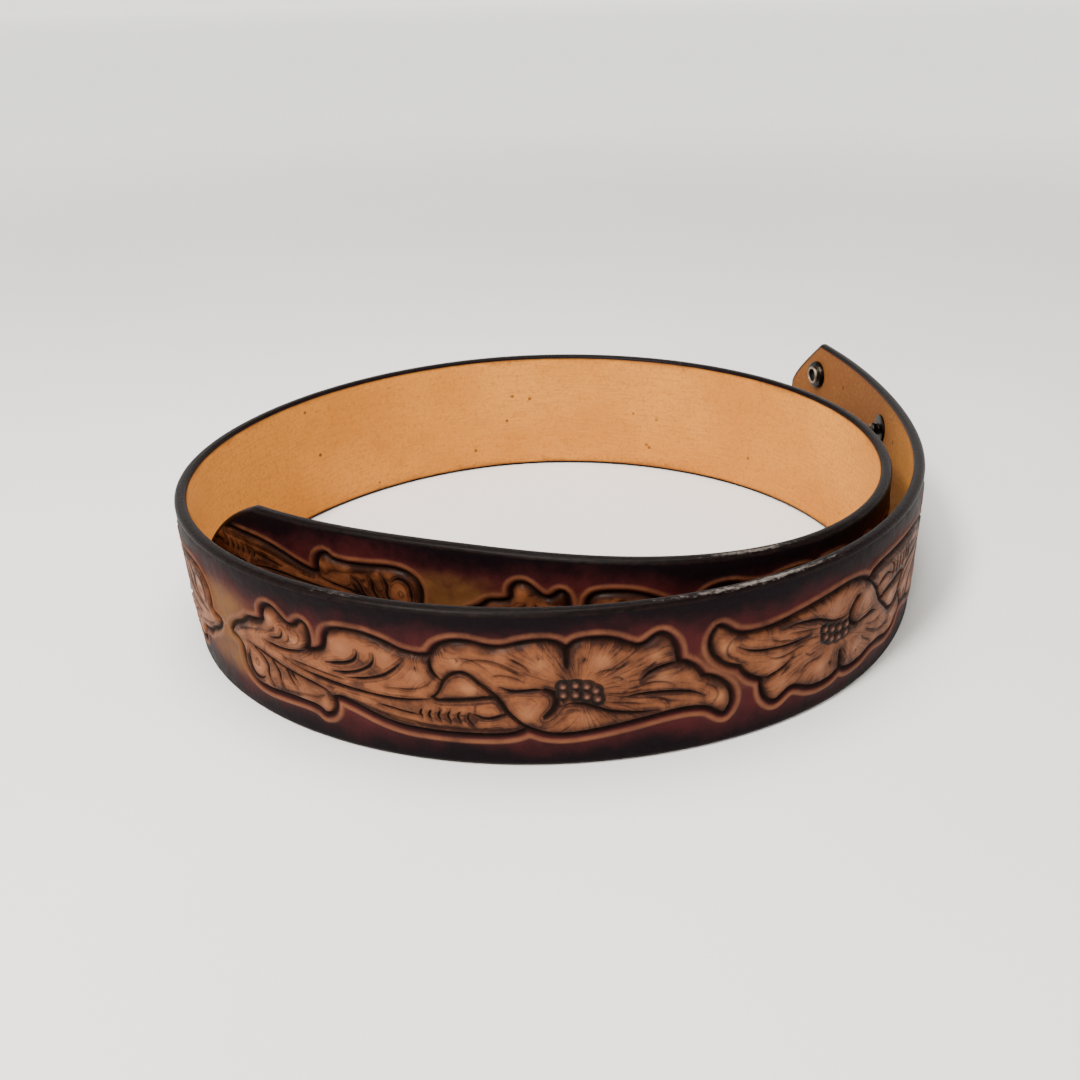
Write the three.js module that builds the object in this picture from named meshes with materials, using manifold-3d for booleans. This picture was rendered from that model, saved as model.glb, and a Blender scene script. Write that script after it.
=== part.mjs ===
// Western tooled leather belt without its buckle, standing on its lower edge in a loose coil.
// The strap is one piece of thick leather: a pointed tip inside the coil, a tab with clipped
// corners outside it, and two rows of snaps near the tab that would close a fold of the tab
// round a buckle bar. Units are millimetres and +Z is up.

import * as THREE from "three";
import { mergeVertices } from "three/addons/utils/BufferGeometryUtils.js";
import Module from "manifold-3d";

const wasm = await Module();
wasm.setup();

// Strap
const STRAP_WIDTH = 44.45; // 1 3/4 inches, and so the height of the standing strap
const STRAP_LENGTH = 998; // along the middle of the leather, from the tip to the end of the tab
const LEATHER = 3.3; // from the flesh side to the ground of the tooling
const EDGE_BEVEL = 0.7; // rounded and burnished corners of the leather
const STATION = 14; // the bent strap is faceted at this step along its length

// Tooling
const RELIEF = 0.5; // height of the tooled figures over their ground
const FIGURE_BEVEL = 0.4; // slope at the edge of a figure
const REPEAT = 270; // one flower and leaf, and the same pair turned half way round
const FLOWERS_MEET = 763; // from the tip to the middle of a pair of flowers
const TOOLING_END = 900; // from the tip, short of the snaps
const FIGURE_BORDER = 2; // least plain leather between a figure and the cut tip

// Coil, seen from above, wound counter-clockwise from the tip
const COIL_RADIUS = 90;
const COIL_START = 196; // degrees, from +X, where the tip lies
const ROW_ANGLE = 30; // degrees between the rows of the two tables below
const LENGTH_SAMPLES = 60; // chords per row that measure the coil's length
const ROWS_PAST_TABLE = 14; // past the last row the coil goes on opening as it did there

// Prong holes, for the buckle that the belt is sold to take
const PRONG_HOLES = 5;
const PRONG_HOLE = 4.4; // diameter
const PRONG_HOLE_STEP = 25.4;
const FIRST_PRONG_HOLE = 76; // from the tip

// Snaps
const SNAP_ROW_SPREAD = 20.4; // between the two rows, across the strap
const SOCKET_FROM_END = 19.6; // from the end of the tab to the middle of a socket
const SOCKET_TO_STUD = 59; // along the strap
const CLEARANCE = 0.3; // between pieces that touch
const POST_DIAMETER = 3.4; // a cap's post, through the leather
const TUBE_DIAMETER = 2.4; // an eyelet's tube, through the leather
const SOCKET_DIAMETER = 10.4;
const SOCKET_HEIGHT = 3.2;
const CAP_DIAMETER = 12.4;
const CAP_HEIGHT = 2.4;
const STUD_DIAMETER = 9.8;
const STUD_HEIGHT = 3.8;
const STUD_HEAD_DIAMETER = 4.2;
const STUD_FLANGE = 0.8; // thickness
const EYELET_DIAMETER = 9.6;
const EYELET_FLANGE = 0.7; // thickness
const ROUND_SIDES = 16;

// First turn: the inside radius, as a share of the coil's
const FIRST_TURN = [
  { at: 166, inside: 1.48 },
  { at: 196, inside: 1.134 },
  { at: 226, inside: 0.873 },
  { at: 256, inside: 0.786 },
  { at: 286, inside: 0.907 },
  { at: 316, inside: 1.132 },
  { at: 346, inside: 1.151 },
  { at: 376, inside: 1.044 },
  { at: 406, inside: 0.919 },
  { at: 436, inside: 0.858 },
  { at: 466, inside: 0.87 },
  { at: 496, inside: 0.936 },
  { at: 526, inside: 1.07 },
];

// Second turn: the clear gap outside the turn before, as a share of the coil's radius
const SECOND_TURN = [
  { at: 556, clear: 0.055 },
  { at: 586, clear: 0.28 },
  { at: 616, clear: 0.315 },
  { at: 646, clear: 0.194 },
  { at: 676, clear: 0.045 },
  { at: 706, clear: 0.04 },
  { at: 736, clear: 0.18 },
  { at: 766, clear: 0.555 },
  { at: 796, clear: 1.087 },
  { at: 826, clear: 1.763 },
];

// Ends of the strap, upper half, as shares of its width from the end and from the middle line:
// each half is one curve from the nose, past its handle, to the straight edge
const TIP = { nose: 0.03, handle: { along: 0.3, up: 0.37 }, edge: 0.64 };
const TAB = { nose: 0.03, handle: { along: 0.03, up: 0.16 }, edge: 0.44 };
const END_STEPS = 6;

// Outline of one tooled figure, from its leaf cluster to its flower: along as a share of half
// the repeat from the place where two leaf clusters meet, up as a share of the strap's width
// from the middle line
const FIGURE = [
  { along: 0.02, up: -0.01 },
  { along: 0.046, up: -0.12 },
  { along: 0.066, up: -0.25 },
  { along: 0.148, up: -0.275 },
  { along: 0.23, up: -0.27 },
  { along: 0.25, up: -0.315 },
  { along: 0.29, up: -0.22 },
  { along: 0.323, up: -0.18 },
  { along: 0.428, up: -0.255 },
  { along: 0.56, up: -0.275 },
  { along: 0.708, up: -0.27 },
  { along: 0.84, up: -0.22 },
  { along: 0.958, up: -0.215 },
  { along: 1.011, up: -0.275 },
  { along: 1.021, up: -0.15 },
  { along: 0.998, up: -0.04 },
  { along: 0.945, up: 0.08 },
  { along: 0.909, up: 0.18 },
  { along: 0.882, up: 0.32 },
  { along: 0.85, up: 0.255 },
  { along: 0.797, up: 0.305 },
  { along: 0.741, up: 0.3 },
  { along: 0.723, up: 0.16 },
  { along: 0.705, up: 0.3 },
  { along: 0.662, up: 0.317 },
  { along: 0.603, up: 0.27 },
  { along: 0.55, up: 0.307 },
  { along: 0.494, up: 0.265 },
  { along: 0.461, up: 0.215 },
  { along: 0.408, up: 0.265 },
  { along: 0.346, up: 0.305 },
  { along: 0.286, up: 0.27 },
  { along: 0.273, up: 0.15 },
  { along: 0.239, up: 0.12 },
  { along: 0.242, up: 0.19 },
  { along: 0.23, up: 0.275 },
  { along: 0.201, up: 0.235 },
  { along: 0.161, up: 0.32 },
  { along: 0.142, up: 0.31 },
  { along: 0.125, up: 0.2 },
  { along: 0.063, up: 0.11 },
];

const MIDDLE = STRAP_WIDTH / 2;
const SMALL = 0.01; // a corner this near a station counts as on it

const leatherMaterial = new THREE.MeshStandardMaterial({
  color: 0x6b3a22,
  roughness: 0.5,
  metalness: 0,
  flatShading: true,
});
const snapMaterial = new THREE.MeshStandardMaterial({
  color: 0x5a524a,
  roughness: 0.35,
  metalness: 1,
  flatShading: true,
});

// The coil's radii at the tables' rows, which a uniform cubic B-spline then rounds off
function coilRows() {
  const rows = FIRST_TURN.map((row) => row.inside * COIL_RADIUS);
  for (const row of SECOND_TURN) {
    const below = (row.at - 360 - FIRST_TURN[0].at) / ROW_ANGLE;
    rows.push(rows[below] + LEATHER + RELIEF + row.clear * COIL_RADIUS);
  }
  const growth = rows[rows.length - 1] - rows[rows.length - 2];
  for (let extra = 0; extra < ROWS_PAST_TABLE; extra += 1) {
    rows.push(rows[rows.length - 1] + growth);
  }
  return rows;
}

const rows = coilRows();

// Point of the flesh side and the direction of the grain side, at an angle in rows from the tip
function coilAt(turned) {
  const first = THREE.MathUtils.clamp(Math.floor(turned), 0, rows.length - 4);
  const t = turned - first;
  const weights = [
    (1 - t) ** 3 / 6,
    (3 * t ** 3 - 6 * t ** 2 + 4) / 6,
    (-3 * t ** 3 + 3 * t ** 2 + 3 * t + 1) / 6,
    t ** 3 / 6,
  ];
  const slopes = [
    (-((1 - t) ** 2)) / 2,
    (3 * t ** 2 - 4 * t) / 2,
    (-3 * t ** 2 + 2 * t + 1) / 2,
    t ** 2 / 2,
  ];
  const step = THREE.MathUtils.degToRad(ROW_ANGLE);
  let radius = 0;
  let growth = 0;
  for (let k = 0; k < 4; k += 1) {
    radius += weights[k] * rows[first + k];
    growth += (slopes[k] * rows[first + k]) / step;
  }
  const angle = THREE.MathUtils.degToRad(COIL_START) + turned * step;
  const out = new THREE.Vector2(Math.cos(angle), Math.sin(angle));
  const round = new THREE.Vector2(-out.y, out.x);
  const travel = out.clone().multiplyScalar(growth).addScaledVector(round, radius).normalize();
  return {
    point: out.multiplyScalar(radius),
    travel,
    outward: new THREE.Vector2(travel.y, -travel.x),
  };
}

// Length along the middle of the leather at each sample of the coil
function coilLengths() {
  const lengths = [0];
  let last = null;
  const samples = (rows.length - 4) * LENGTH_SAMPLES;
  for (let i = 0; i <= samples; i += 1) {
    const { point, outward } = coilAt(i / LENGTH_SAMPLES);
    const middle = point.addScaledVector(outward, LEATHER / 2);
    if (last) lengths.push(lengths[lengths.length - 1] + middle.distanceTo(last));
    last = middle;
  }
  return lengths;
}

const lengths = coilLengths();

// The coil at a distance from the tip along the strap
function strapAt(along) {
  let low = 0;
  let high = lengths.length - 1;
  while (high - low > 1) {
    const half = (low + high) >> 1;
    if (lengths[half] > along) high = half;
    else low = half;
  }
  const part = (along - lengths[low]) / (lengths[high] - lengths[low]);
  return coilAt((low + part) / LENGTH_SAMPLES);
}

// Places where two leaf clusters meet, from one before the tip to the end of the strap
const clusterPlaces = [];
for (let at = (FLOWERS_MEET - REPEAT / 2) % REPEAT; at < STRAP_LENGTH; at += REPEAT) {
  clusterPlaces.push(at);
}

// The straight-edged part of the strap is worked in blocks from cluster to cluster
const blockEnds = clusterPlaces.filter(
  (at) => at > TIP.edge * STRAP_WIDTH && at < STRAP_LENGTH - TAB.edge * STRAP_WIDTH,
);

// Places along the strap between which it is flat, with every block's end among them
const stations = [0];
for (const end of [...blockEnds, STRAP_LENGTH]) {
  const start = stations[stations.length - 1];
  const count = Math.ceil((end - start) / STATION);
  for (let k = 1; k <= count; k += 1) stations.push(start + ((end - start) * k) / count);
}

const stationFrames = stations.map(strapAt);

// The pair of stations round a place along the strap, and where it lies between them
function spanAt(along) {
  const after = stations.findIndex((station) => station > along + SMALL);
  const second = after < 0 ? stations.length - 1 : Math.max(after, 1);
  const start = stations[second - 1];
  const end = stations[second];
  return {
    from: stationFrames[second - 1],
    to: stationFrames[second],
    part: (along - start) / (end - start),
  };
}

// A point of the flat strap, bent into the coil: depth counts from the flesh side outwards
function bend([along, up, depth]) {
  const { from, to, part } = spanAt(along);
  const start = from.point.clone().addScaledVector(from.outward, depth);
  const end = to.point.clone().addScaledVector(to.outward, depth);
  const placed = start.lerp(end, part);
  return new THREE.Vector3(placed.x, placed.y, up);
}

// Curved half of an end, from the nose to the straight edge, with x along and y up
function endCurve(end) {
  const curve = new THREE.QuadraticBezierCurve(
    new THREE.Vector2(0, end.nose),
    new THREE.Vector2(end.handle.along, end.handle.up),
    new THREE.Vector2(end.edge, 0.5),
  );
  return curve.getPoints(END_STEPS).map((p) => p.multiplyScalar(STRAP_WIDTH));
}

// Outline of the strap, counter-clockwise seen from the grain side
function strapOutline() {
  const tip = endCurve(TIP);
  const tab = endCurve(TAB);
  const lowerTip = tip.map((p) => new THREE.Vector2(p.x, MIDDLE - p.y));
  const lowerTab = tab.map((p) => new THREE.Vector2(STRAP_LENGTH - p.x, MIDDLE - p.y)).reverse();
  const upperTab = tab.map((p) => new THREE.Vector2(STRAP_LENGTH - p.x, MIDDLE + p.y));
  const upperTip = tip.map((p) => new THREE.Vector2(p.x, MIDDLE + p.y)).reverse();
  return [...lowerTip, ...lowerTab, ...upperTab, ...upperTip];
}

// An outline moved inwards by a margin, its corners mitred
function inset(outline, margin) {
  return outline.map((corner, i) => {
    const before = outline[(i + outline.length - 1) % outline.length];
    const after = outline[(i + 1) % outline.length];
    const inFirst = corner.clone().sub(before).normalize();
    const inSecond = after.clone().sub(corner).normalize();
    const first = new THREE.Vector2(-inFirst.y, inFirst.x);
    const second = new THREE.Vector2(-inSecond.y, inSecond.x);
    const mitre = first.clone().add(second).normalize();
    return corner.clone().addScaledVector(mitre, margin / Math.max(mitre.dot(first), 0.5));
  });
}

const raise = (outline, depth) => outline.map((p) => [p.x, p.y, depth]);

// Flat four-cornered pieces between two parallel outlines, facing out of what they enclose
function bandPieces(low, high) {
  return low.map((corner, i) => {
    const next = (i + 1) % low.length;
    return [corner, low[next], high[next], high[i]];
  });
}

// Flat triangles that fill an outline round its openings, facing out of the grain side
function facePieces(outline, openings) {
  const corners = [outline, ...openings].flat();
  const flat = (loop) => loop.map(([x, y]) => new THREE.Vector2(x, y));
  return THREE.ShapeUtils.triangulateShape(flat(outline), openings.map(flat)).map((triple) => {
    const [a, b, c] = triple.map((i) => corners[i]);
    const turn = (b[0] - a[0]) * (c[1] - a[1]) - (b[1] - a[1]) * (c[0] - a[0]);
    return turn > 0 ? [a, b, c] : [a, c, b];
  });
}

// The part of a flat polygon before or after a place along the strap
function sideOf(polygon, place, sign) {
  const kept = [];
  const away = (p) => (Math.abs(p[0] - place) < SMALL ? 0 : Math.sign(p[0] - place) * sign);
  polygon.forEach((p, i) => {
    const next = polygon[(i + 1) % polygon.length];
    if (away(p) >= 0) kept.push(p);
    if (away(p) * away(next) < 0) {
      const part = (place - p[0]) / (next[0] - p[0]);
      kept.push([place, p[1] + part * (next[1] - p[1]), p[2] + part * (next[2] - p[2])]);
    }
  });
  return kept;
}

// A flat polygon cut across at each of some places that rise along the strap
function cutAcross(polygon, places) {
  const start = Math.min(...polygon.map((p) => p[0])) + SMALL;
  const end = Math.max(...polygon.map((p) => p[0])) - SMALL;
  const pieces = [];
  let rest = polygon;
  for (const place of places.filter((p) => p > start && p < end)) {
    pieces.push(sideOf(rest, place, -1));
    rest = sideOf(rest, place, 1);
  }
  return [...pieces, rest];
}

// The part of an outline that lies inside a convex one
function clipped(outline, convex) {
  let kept = outline;
  convex.forEach((from, i) => {
    const to = convex[(i + 1) % convex.length];
    const inside = (p) => (to.x - from.x) * (p.y - from.y) - (to.y - from.y) * (p.x - from.x);
    kept = kept.flatMap((p, k) => {
      const next = kept[(k + 1) % kept.length];
      const [here, there] = [inside(p), inside(next)];
      const corners = here >= 0 ? [p] : [];
      if (here * there < 0) corners.push(p.clone().lerp(next, here / (here - there)));
      return corners;
    });
  });
  return kept;
}

// Geometry of flat convex pieces, cut at the stations and bent into the coil
function bentGeometry(pieces) {
  const positions = [];
  for (const polygon of pieces.flatMap((piece) => cutAcross(piece, stations))) {
    for (let i = 2; i < polygon.length; i += 1) {
      for (const p of [polygon[0], polygon[i - 1], polygon[i]]) positions.push(...bend(p).toArray());
    }
  }
  return new THREE.BufferGeometry().setAttribute(
    "position",
    new THREE.Float32BufferAttribute(positions, 3),
  );
}

function solidOf(geometry) {
  const bare = geometry.clone();
  bare.deleteAttribute("normal");
  bare.deleteAttribute("uv");
  const merged = mergeVertices(bare, 1e-3);
  return new wasm.Manifold(
    new wasm.Mesh({
      numProp: 3,
      vertProperties: merged.attributes.position.array,
      triVerts: new Uint32Array(merged.index.array),
    }),
  );
}

function geometryOf(solid) {
  const mesh = solid.getMesh();
  const geometry = new THREE.BufferGeometry();
  geometry.setAttribute("position", new THREE.BufferAttribute(mesh.vertProperties, 3));
  geometry.setIndex(new THREE.BufferAttribute(mesh.triVerts, 1));
  geometry.computeVertexNormals();
  return geometry;
}

// Outlines of the tooled figures: every other one is turned half way round, the cut tip trims
// those that run over it, and none runs past the end of the tooling
function figureOutlines() {
  const border = inset(strapOutline(), FIGURE_BORDER);
  const outlines = [];
  for (const place of clusterPlaces) {
    for (const sign of [1, -1]) {
      const outline = FIGURE.map(
        ({ along, up }) =>
          new THREE.Vector2(place + (sign * along * REPEAT) / 2, MIDDLE + sign * up * STRAP_WIDTH),
      );
      const trimmed = clipped(outline, border);
      const fits = Math.max(...outline.map((p) => p.x)) <= TOOLING_END;
      if (fits && trimmed.length > 2) outlines.push(trimmed);
    }
  }
  return outlines;
}

// Axes of a fitting that goes through the strap: its Y axis points out of the grain side
function fittingMatrix(along, up, depth) {
  const { from, to } = spanAt(along);
  const travel = to.point.clone().sub(from.point).normalize();
  const right = new THREE.Vector3(travel.x, travel.y, 0);
  const out = new THREE.Vector3(travel.y, -travel.x, 0);
  const matrix = new THREE.Matrix4().makeBasis(right, out, right.clone().cross(out));
  return matrix.setPosition(bend([along, up, depth]));
}

function holeSolid(along, up, diameter) {
  const height = 3 * (LEATHER + RELIEF);
  const drill = new THREE.CylinderGeometry(diameter / 2, diameter / 2, height, ROUND_SIDES);
  return solidOf(drill.applyMatrix4(fittingMatrix(along, up, LEATHER / 2)));
}

const socketAt = STRAP_LENGTH - SOCKET_FROM_END;
const studAt = socketAt - SOCKET_TO_STUD;
const snapRows = [
  { name: "upper", up: MIDDLE + SNAP_ROW_SPREAD / 2 },
  { name: "lower", up: MIDDLE - SNAP_ROW_SPREAD / 2 },
];

// The strap: its edge bands, its two faces and the figures that stand out of the grain
function strapGeometry() {
  const outline = strapOutline();
  const edge = inset(outline, EDGE_BEVEL);
  const figures = figureOutlines();
  const pieces = [
    ...bandPieces(raise(edge, 0), raise(outline, EDGE_BEVEL)),
    ...bandPieces(raise(outline, EDGE_BEVEL), raise(outline, LEATHER - EDGE_BEVEL)),
    ...bandPieces(raise(outline, LEATHER - EDGE_BEVEL), raise(edge, LEATHER)),
    raise(edge, 0).reverse(),
  ];
  for (const block of cutAcross(raise(edge, LEATHER), blockEnds)) {
    const start = Math.min(...block.map((p) => p[0]));
    const end = Math.max(...block.map((p) => p[0]));
    const within = figures.filter((figure) => figure[0].x > start && figure[0].x < end);
    const feet = within.map((figure) => raise(figure, LEATHER));
    pieces.push(...facePieces(block, feet));
  }
  for (const figure of figures) {
    const top = raise(inset(figure, FIGURE_BEVEL), LEATHER + RELIEF);
    pieces.push(...bandPieces(raise(figure, LEATHER), top), ...facePieces(top, []));
  }
  return bentGeometry(pieces);
}

function drilledStrap() {
  let strap = solidOf(strapGeometry());
  for (let k = 0; k < PRONG_HOLES; k += 1) {
    strap = strap.subtract(holeSolid(FIRST_PRONG_HOLE + k * PRONG_HOLE_STEP, MIDDLE, PRONG_HOLE));
  }
  for (const { up } of snapRows) {
    strap = strap.subtract(holeSolid(socketAt, up, POST_DIAMETER + 2 * CLEARANCE));
    strap = strap.subtract(holeSolid(studAt, up, TUBE_DIAMETER + 2 * CLEARANCE));
  }
  return strap;
}

// Round fitting from rows of radius and height, where height counts from the flesh side
function turnedGeometry(profile) {
  return new THREE.LatheGeometry(
    profile.map(([radius, height]) => new THREE.Vector2(radius, height)),
    ROUND_SIDES,
  );
}

// Cap on the grain side, with the post that holds the socket
function capGeometry() {
  const seat = LEATHER + CLEARANCE;
  const rim = CAP_DIAMETER / 2;
  const post = POST_DIAMETER / 2;
  return turnedGeometry([
    [0, -SOCKET_HEIGHT / 2],
    [post, -SOCKET_HEIGHT / 2],
    [post, seat],
    [rim - 0.05 * CAP_DIAMETER, seat],
    [rim, seat + 0.25 * CAP_HEIGHT],
    [0.85 * rim, seat + 0.65 * CAP_HEIGHT],
    [0.5 * rim, seat + 0.92 * CAP_HEIGHT],
    [0, seat + CAP_HEIGHT],
  ]);
}

// Socket on the flesh side: a ring that the stud's head springs into
function socketGeometry() {
  const rim = SOCKET_DIAMETER / 2;
  const bore = POST_DIAMETER / 2 + CLEARANCE;
  const top = -CLEARANCE - SOCKET_HEIGHT;
  return turnedGeometry([
    [bore, -CLEARANCE],
    [bore, top + 0.1 * SOCKET_HEIGHT],
    [bore + 0.1 * SOCKET_HEIGHT, top],
    [0.72 * rim, top],
    [0.88 * rim, top + 0.25 * SOCKET_HEIGHT],
    [rim, top + 0.5 * SOCKET_HEIGHT],
    [rim, -CLEARANCE],
    [bore, -CLEARANCE],
  ]);
}

// Stud on the flesh side: a flange with a round head, drilled for the eyelet's tube
function studGeometry() {
  const rim = STUD_DIAMETER / 2;
  const head = STUD_HEAD_DIAMETER / 2;
  const bore = TUBE_DIAMETER / 2 + CLEARANCE;
  const seat = -CLEARANCE;
  const top = seat - STUD_HEIGHT;
  const boreEnd = seat - STUD_FLANGE - CLEARANCE;
  return turnedGeometry([
    [0, boreEnd],
    [bore, boreEnd],
    [bore, seat],
    [rim, seat],
    [rim, seat - 0.6 * STUD_FLANGE],
    [0.9 * rim, seat - STUD_FLANGE],
    [0.9 * head, seat - STUD_FLANGE],
    [0.85 * head, seat - 0.5 * STUD_HEIGHT],
    [head, seat - 0.7 * STUD_HEIGHT],
    [0.85 * head, top + 0.08 * STUD_HEIGHT],
    [0.5 * head, top],
    [0, top],
  ].reverse());
}

// Eyelet on the grain side, with the tube that holds the stud
function eyeletGeometry() {
  const seat = LEATHER + CLEARANCE;
  const rim = EYELET_DIAMETER / 2;
  const tube = TUBE_DIAMETER / 2;
  return turnedGeometry([
    [0, -CLEARANCE - STUD_FLANGE],
    [tube, -CLEARANCE - STUD_FLANGE],
    [tube, seat],
    [rim, seat],
    [rim, seat + 0.5 * EYELET_FLANGE],
    [0.9 * rim, seat + EYELET_FLANGE],
    [0, seat + EYELET_FLANGE],
  ]);
}

const fittings = [
  { name: "snap_cap", at: socketAt, geometry: capGeometry() },
  { name: "snap_socket", at: socketAt, geometry: socketGeometry() },
  { name: "snap_stud", at: studAt, geometry: studGeometry() },
  { name: "snap_eyelet", at: studAt, geometry: eyeletGeometry() },
];

const coil = new THREE.Group();
const strap = new THREE.Mesh(geometryOf(drilledStrap()), leatherMaterial);
strap.name = "strap";
coil.add(strap);
for (const { name: row, up } of snapRows) {
  for (const { name, at, geometry } of fittings) {
    const fitting = new THREE.Mesh(geometry, snapMaterial);
    fitting.name = `${name}_${row}`;
    fitting.applyMatrix4(fittingMatrix(at, up, 0));
    coil.add(fitting);
  }
}

// The belt stands on the plane z = 0 with the middle of its box over the origin
const middle = new THREE.Box3().setFromObject(coil, true).getCenter(new THREE.Vector3());
coil.position.set(-middle.x, -middle.y, 0);

const belt = new THREE.Group();
belt.add(coil);

export default belt;
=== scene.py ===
# A western tooled leather belt, standing on its lower edge in a loose coil: the finished leather,
# its tooled flowers, burnished edges and snaps, on a pale floor under soft light.

import math
from collections import namedtuple

import bpy
import numpy as np
from mathutils import Matrix, Vector
from mathutils.geometry import delaunay_2d_cdt


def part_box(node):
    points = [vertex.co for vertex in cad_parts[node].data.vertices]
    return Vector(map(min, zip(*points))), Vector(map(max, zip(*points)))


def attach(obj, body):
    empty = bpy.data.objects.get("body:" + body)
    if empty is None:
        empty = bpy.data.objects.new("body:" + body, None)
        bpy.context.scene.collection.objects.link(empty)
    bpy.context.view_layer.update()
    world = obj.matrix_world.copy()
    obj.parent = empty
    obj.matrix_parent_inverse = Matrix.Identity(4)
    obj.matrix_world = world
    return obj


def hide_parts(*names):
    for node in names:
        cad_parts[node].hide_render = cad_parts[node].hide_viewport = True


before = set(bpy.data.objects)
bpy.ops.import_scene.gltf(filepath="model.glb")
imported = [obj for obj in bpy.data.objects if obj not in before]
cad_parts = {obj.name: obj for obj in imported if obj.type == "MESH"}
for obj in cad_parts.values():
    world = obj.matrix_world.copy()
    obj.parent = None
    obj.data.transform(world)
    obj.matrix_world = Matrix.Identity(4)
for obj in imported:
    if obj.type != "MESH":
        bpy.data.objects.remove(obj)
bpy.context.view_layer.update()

MM = 0.001

# Strap, in millimetres, as it was cut
STRAP_WIDTH = 44.45
STRAP_LENGTH = 998
LEATHER = 3.3
MIDDLE = STRAP_WIDTH / 2

# Coil: a rounded path through radii 30 degrees apart, wound from the tip
COIL_RADIUS = 90
COIL_START = 196
ROW_ANGLE = 30
RELIEF = 0.5
FIRST_TURN = (1.48, 1.134, 0.873, 0.786, 0.907, 1.132, 1.151, 1.044, 0.919, 0.858, 0.87, 0.936, 1.07)
SECOND_TURN_GAPS = (0.055, 0.28, 0.315, 0.194, 0.045, 0.04, 0.18, 0.555, 1.087, 1.763)
ROWS_PAST_TABLE = 14
PATH_SAMPLES = 60

# Ends of the strap, as shares of its width
End = namedtuple("End", "nose handle edge")
TIP = End(nose=0.03, handle=(0.3, 0.37), edge=0.64)
TAB = End(nose=0.03, handle=(0.03, 0.16), edge=0.44)
END_STEPS = 26

# Layout along the strap
REPEAT = 270
FLOWERS_MEET = 763
TOOLING_END = 900
PRONG_HOLES = (76, 101.4, 126.8, 152.2, 177.6)
PRONG_HOLE = 4.4
SNAP_ROW_SPREAD = 20.4
SOCKET_AT = STRAP_LENGTH - 19.6
STUD_AT = SOCKET_AT - 59
POST_HOLE = 4.0
TUBE_HOLE = 3.0

# Chart of the tooling, ruled with x along the strap and y down it
CHART_CLUSTERS = 352.6  # where two leaf clusters meet
CHART_FLOWERS = 1961.4  # where two flowers meet, half a repeat on
CHART_MIDDLE = 257.4
CHART_WIDTH = 520

# Outline of one figure, from its leaf cluster to its flower and back: strokes between corners
OUTLINE = (
    ((385, 262), (400, 236), (430, 214), (465, 197), (496, 174), (530, 168), (560, 161)),
    ((560, 161), (571, 146), (572, 122), (584, 105), (604, 97), (624, 103), (644, 119), (664, 134),
     (686, 139), (704, 131), (720, 117), (732, 116), (742, 130), (745, 156), (741, 183), (733, 204)),
    ((733, 204), (755, 202), (782, 192), (799, 175), (806, 154), (811, 134), (826, 117), (853, 109),
     (890, 106), (935, 107), (975, 115), (1010, 127), (1040, 140), (1075, 148), (1105, 150), (1134, 144)),
    ((1134, 144), (1144, 131), (1158, 114), (1183, 101), (1212, 95), (1242, 96), (1272, 103), (1302, 109),
     (1328, 111), (1352, 108), (1382, 99), (1412, 93), (1442, 91), (1468, 92), (1488, 98), (1503, 108),
     (1513, 124)),
    ((1513, 124), (1523, 109), (1538, 98), (1560, 92), (1590, 90), (1621, 92), (1654, 101), (1681, 115),
     (1706, 125), (1726, 124), (1741, 116), (1756, 105), (1771, 97), (1783, 98), (1797, 108), (1812, 126),
     (1821, 147), (1825, 170), (1828, 194)),
    ((1828, 194), (1848, 203), (1872, 219), (1890, 240), (1903, 260)),
    ((1903, 260), (1924, 267), (1948, 280), (1971, 300), (1987, 321), (1996, 346), (1996, 371),
     (1987, 394), (1974, 409)),
    ((1974, 409), (1961, 404), (1946, 392), (1929, 379), (1905, 369), (1871, 363), (1831, 362), (1781, 366),
     (1731, 374), (1681, 382), (1631, 390), (1581, 397), (1531, 403), (1490, 404), (1450, 399), (1420, 388),
     (1396, 376)),
    ((1396, 376), (1376, 391), (1345, 400), (1300, 405), (1200, 407), (1100, 405), (1050, 402), (1000, 394),
     (950, 380), (900, 362), (860, 350), (828, 344), (808, 350)),
    ((808, 350), (809, 375), (801, 400), (786, 415), (768, 421)),
    ((768, 421), (752, 408), (730, 401), (690, 398), (640, 401), (590, 405), (540, 409), (497, 405),
     (466, 392), (446, 372), (437, 346), (438, 320), (441, 299), (434, 281), (416, 269), (385, 262)),
)

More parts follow.
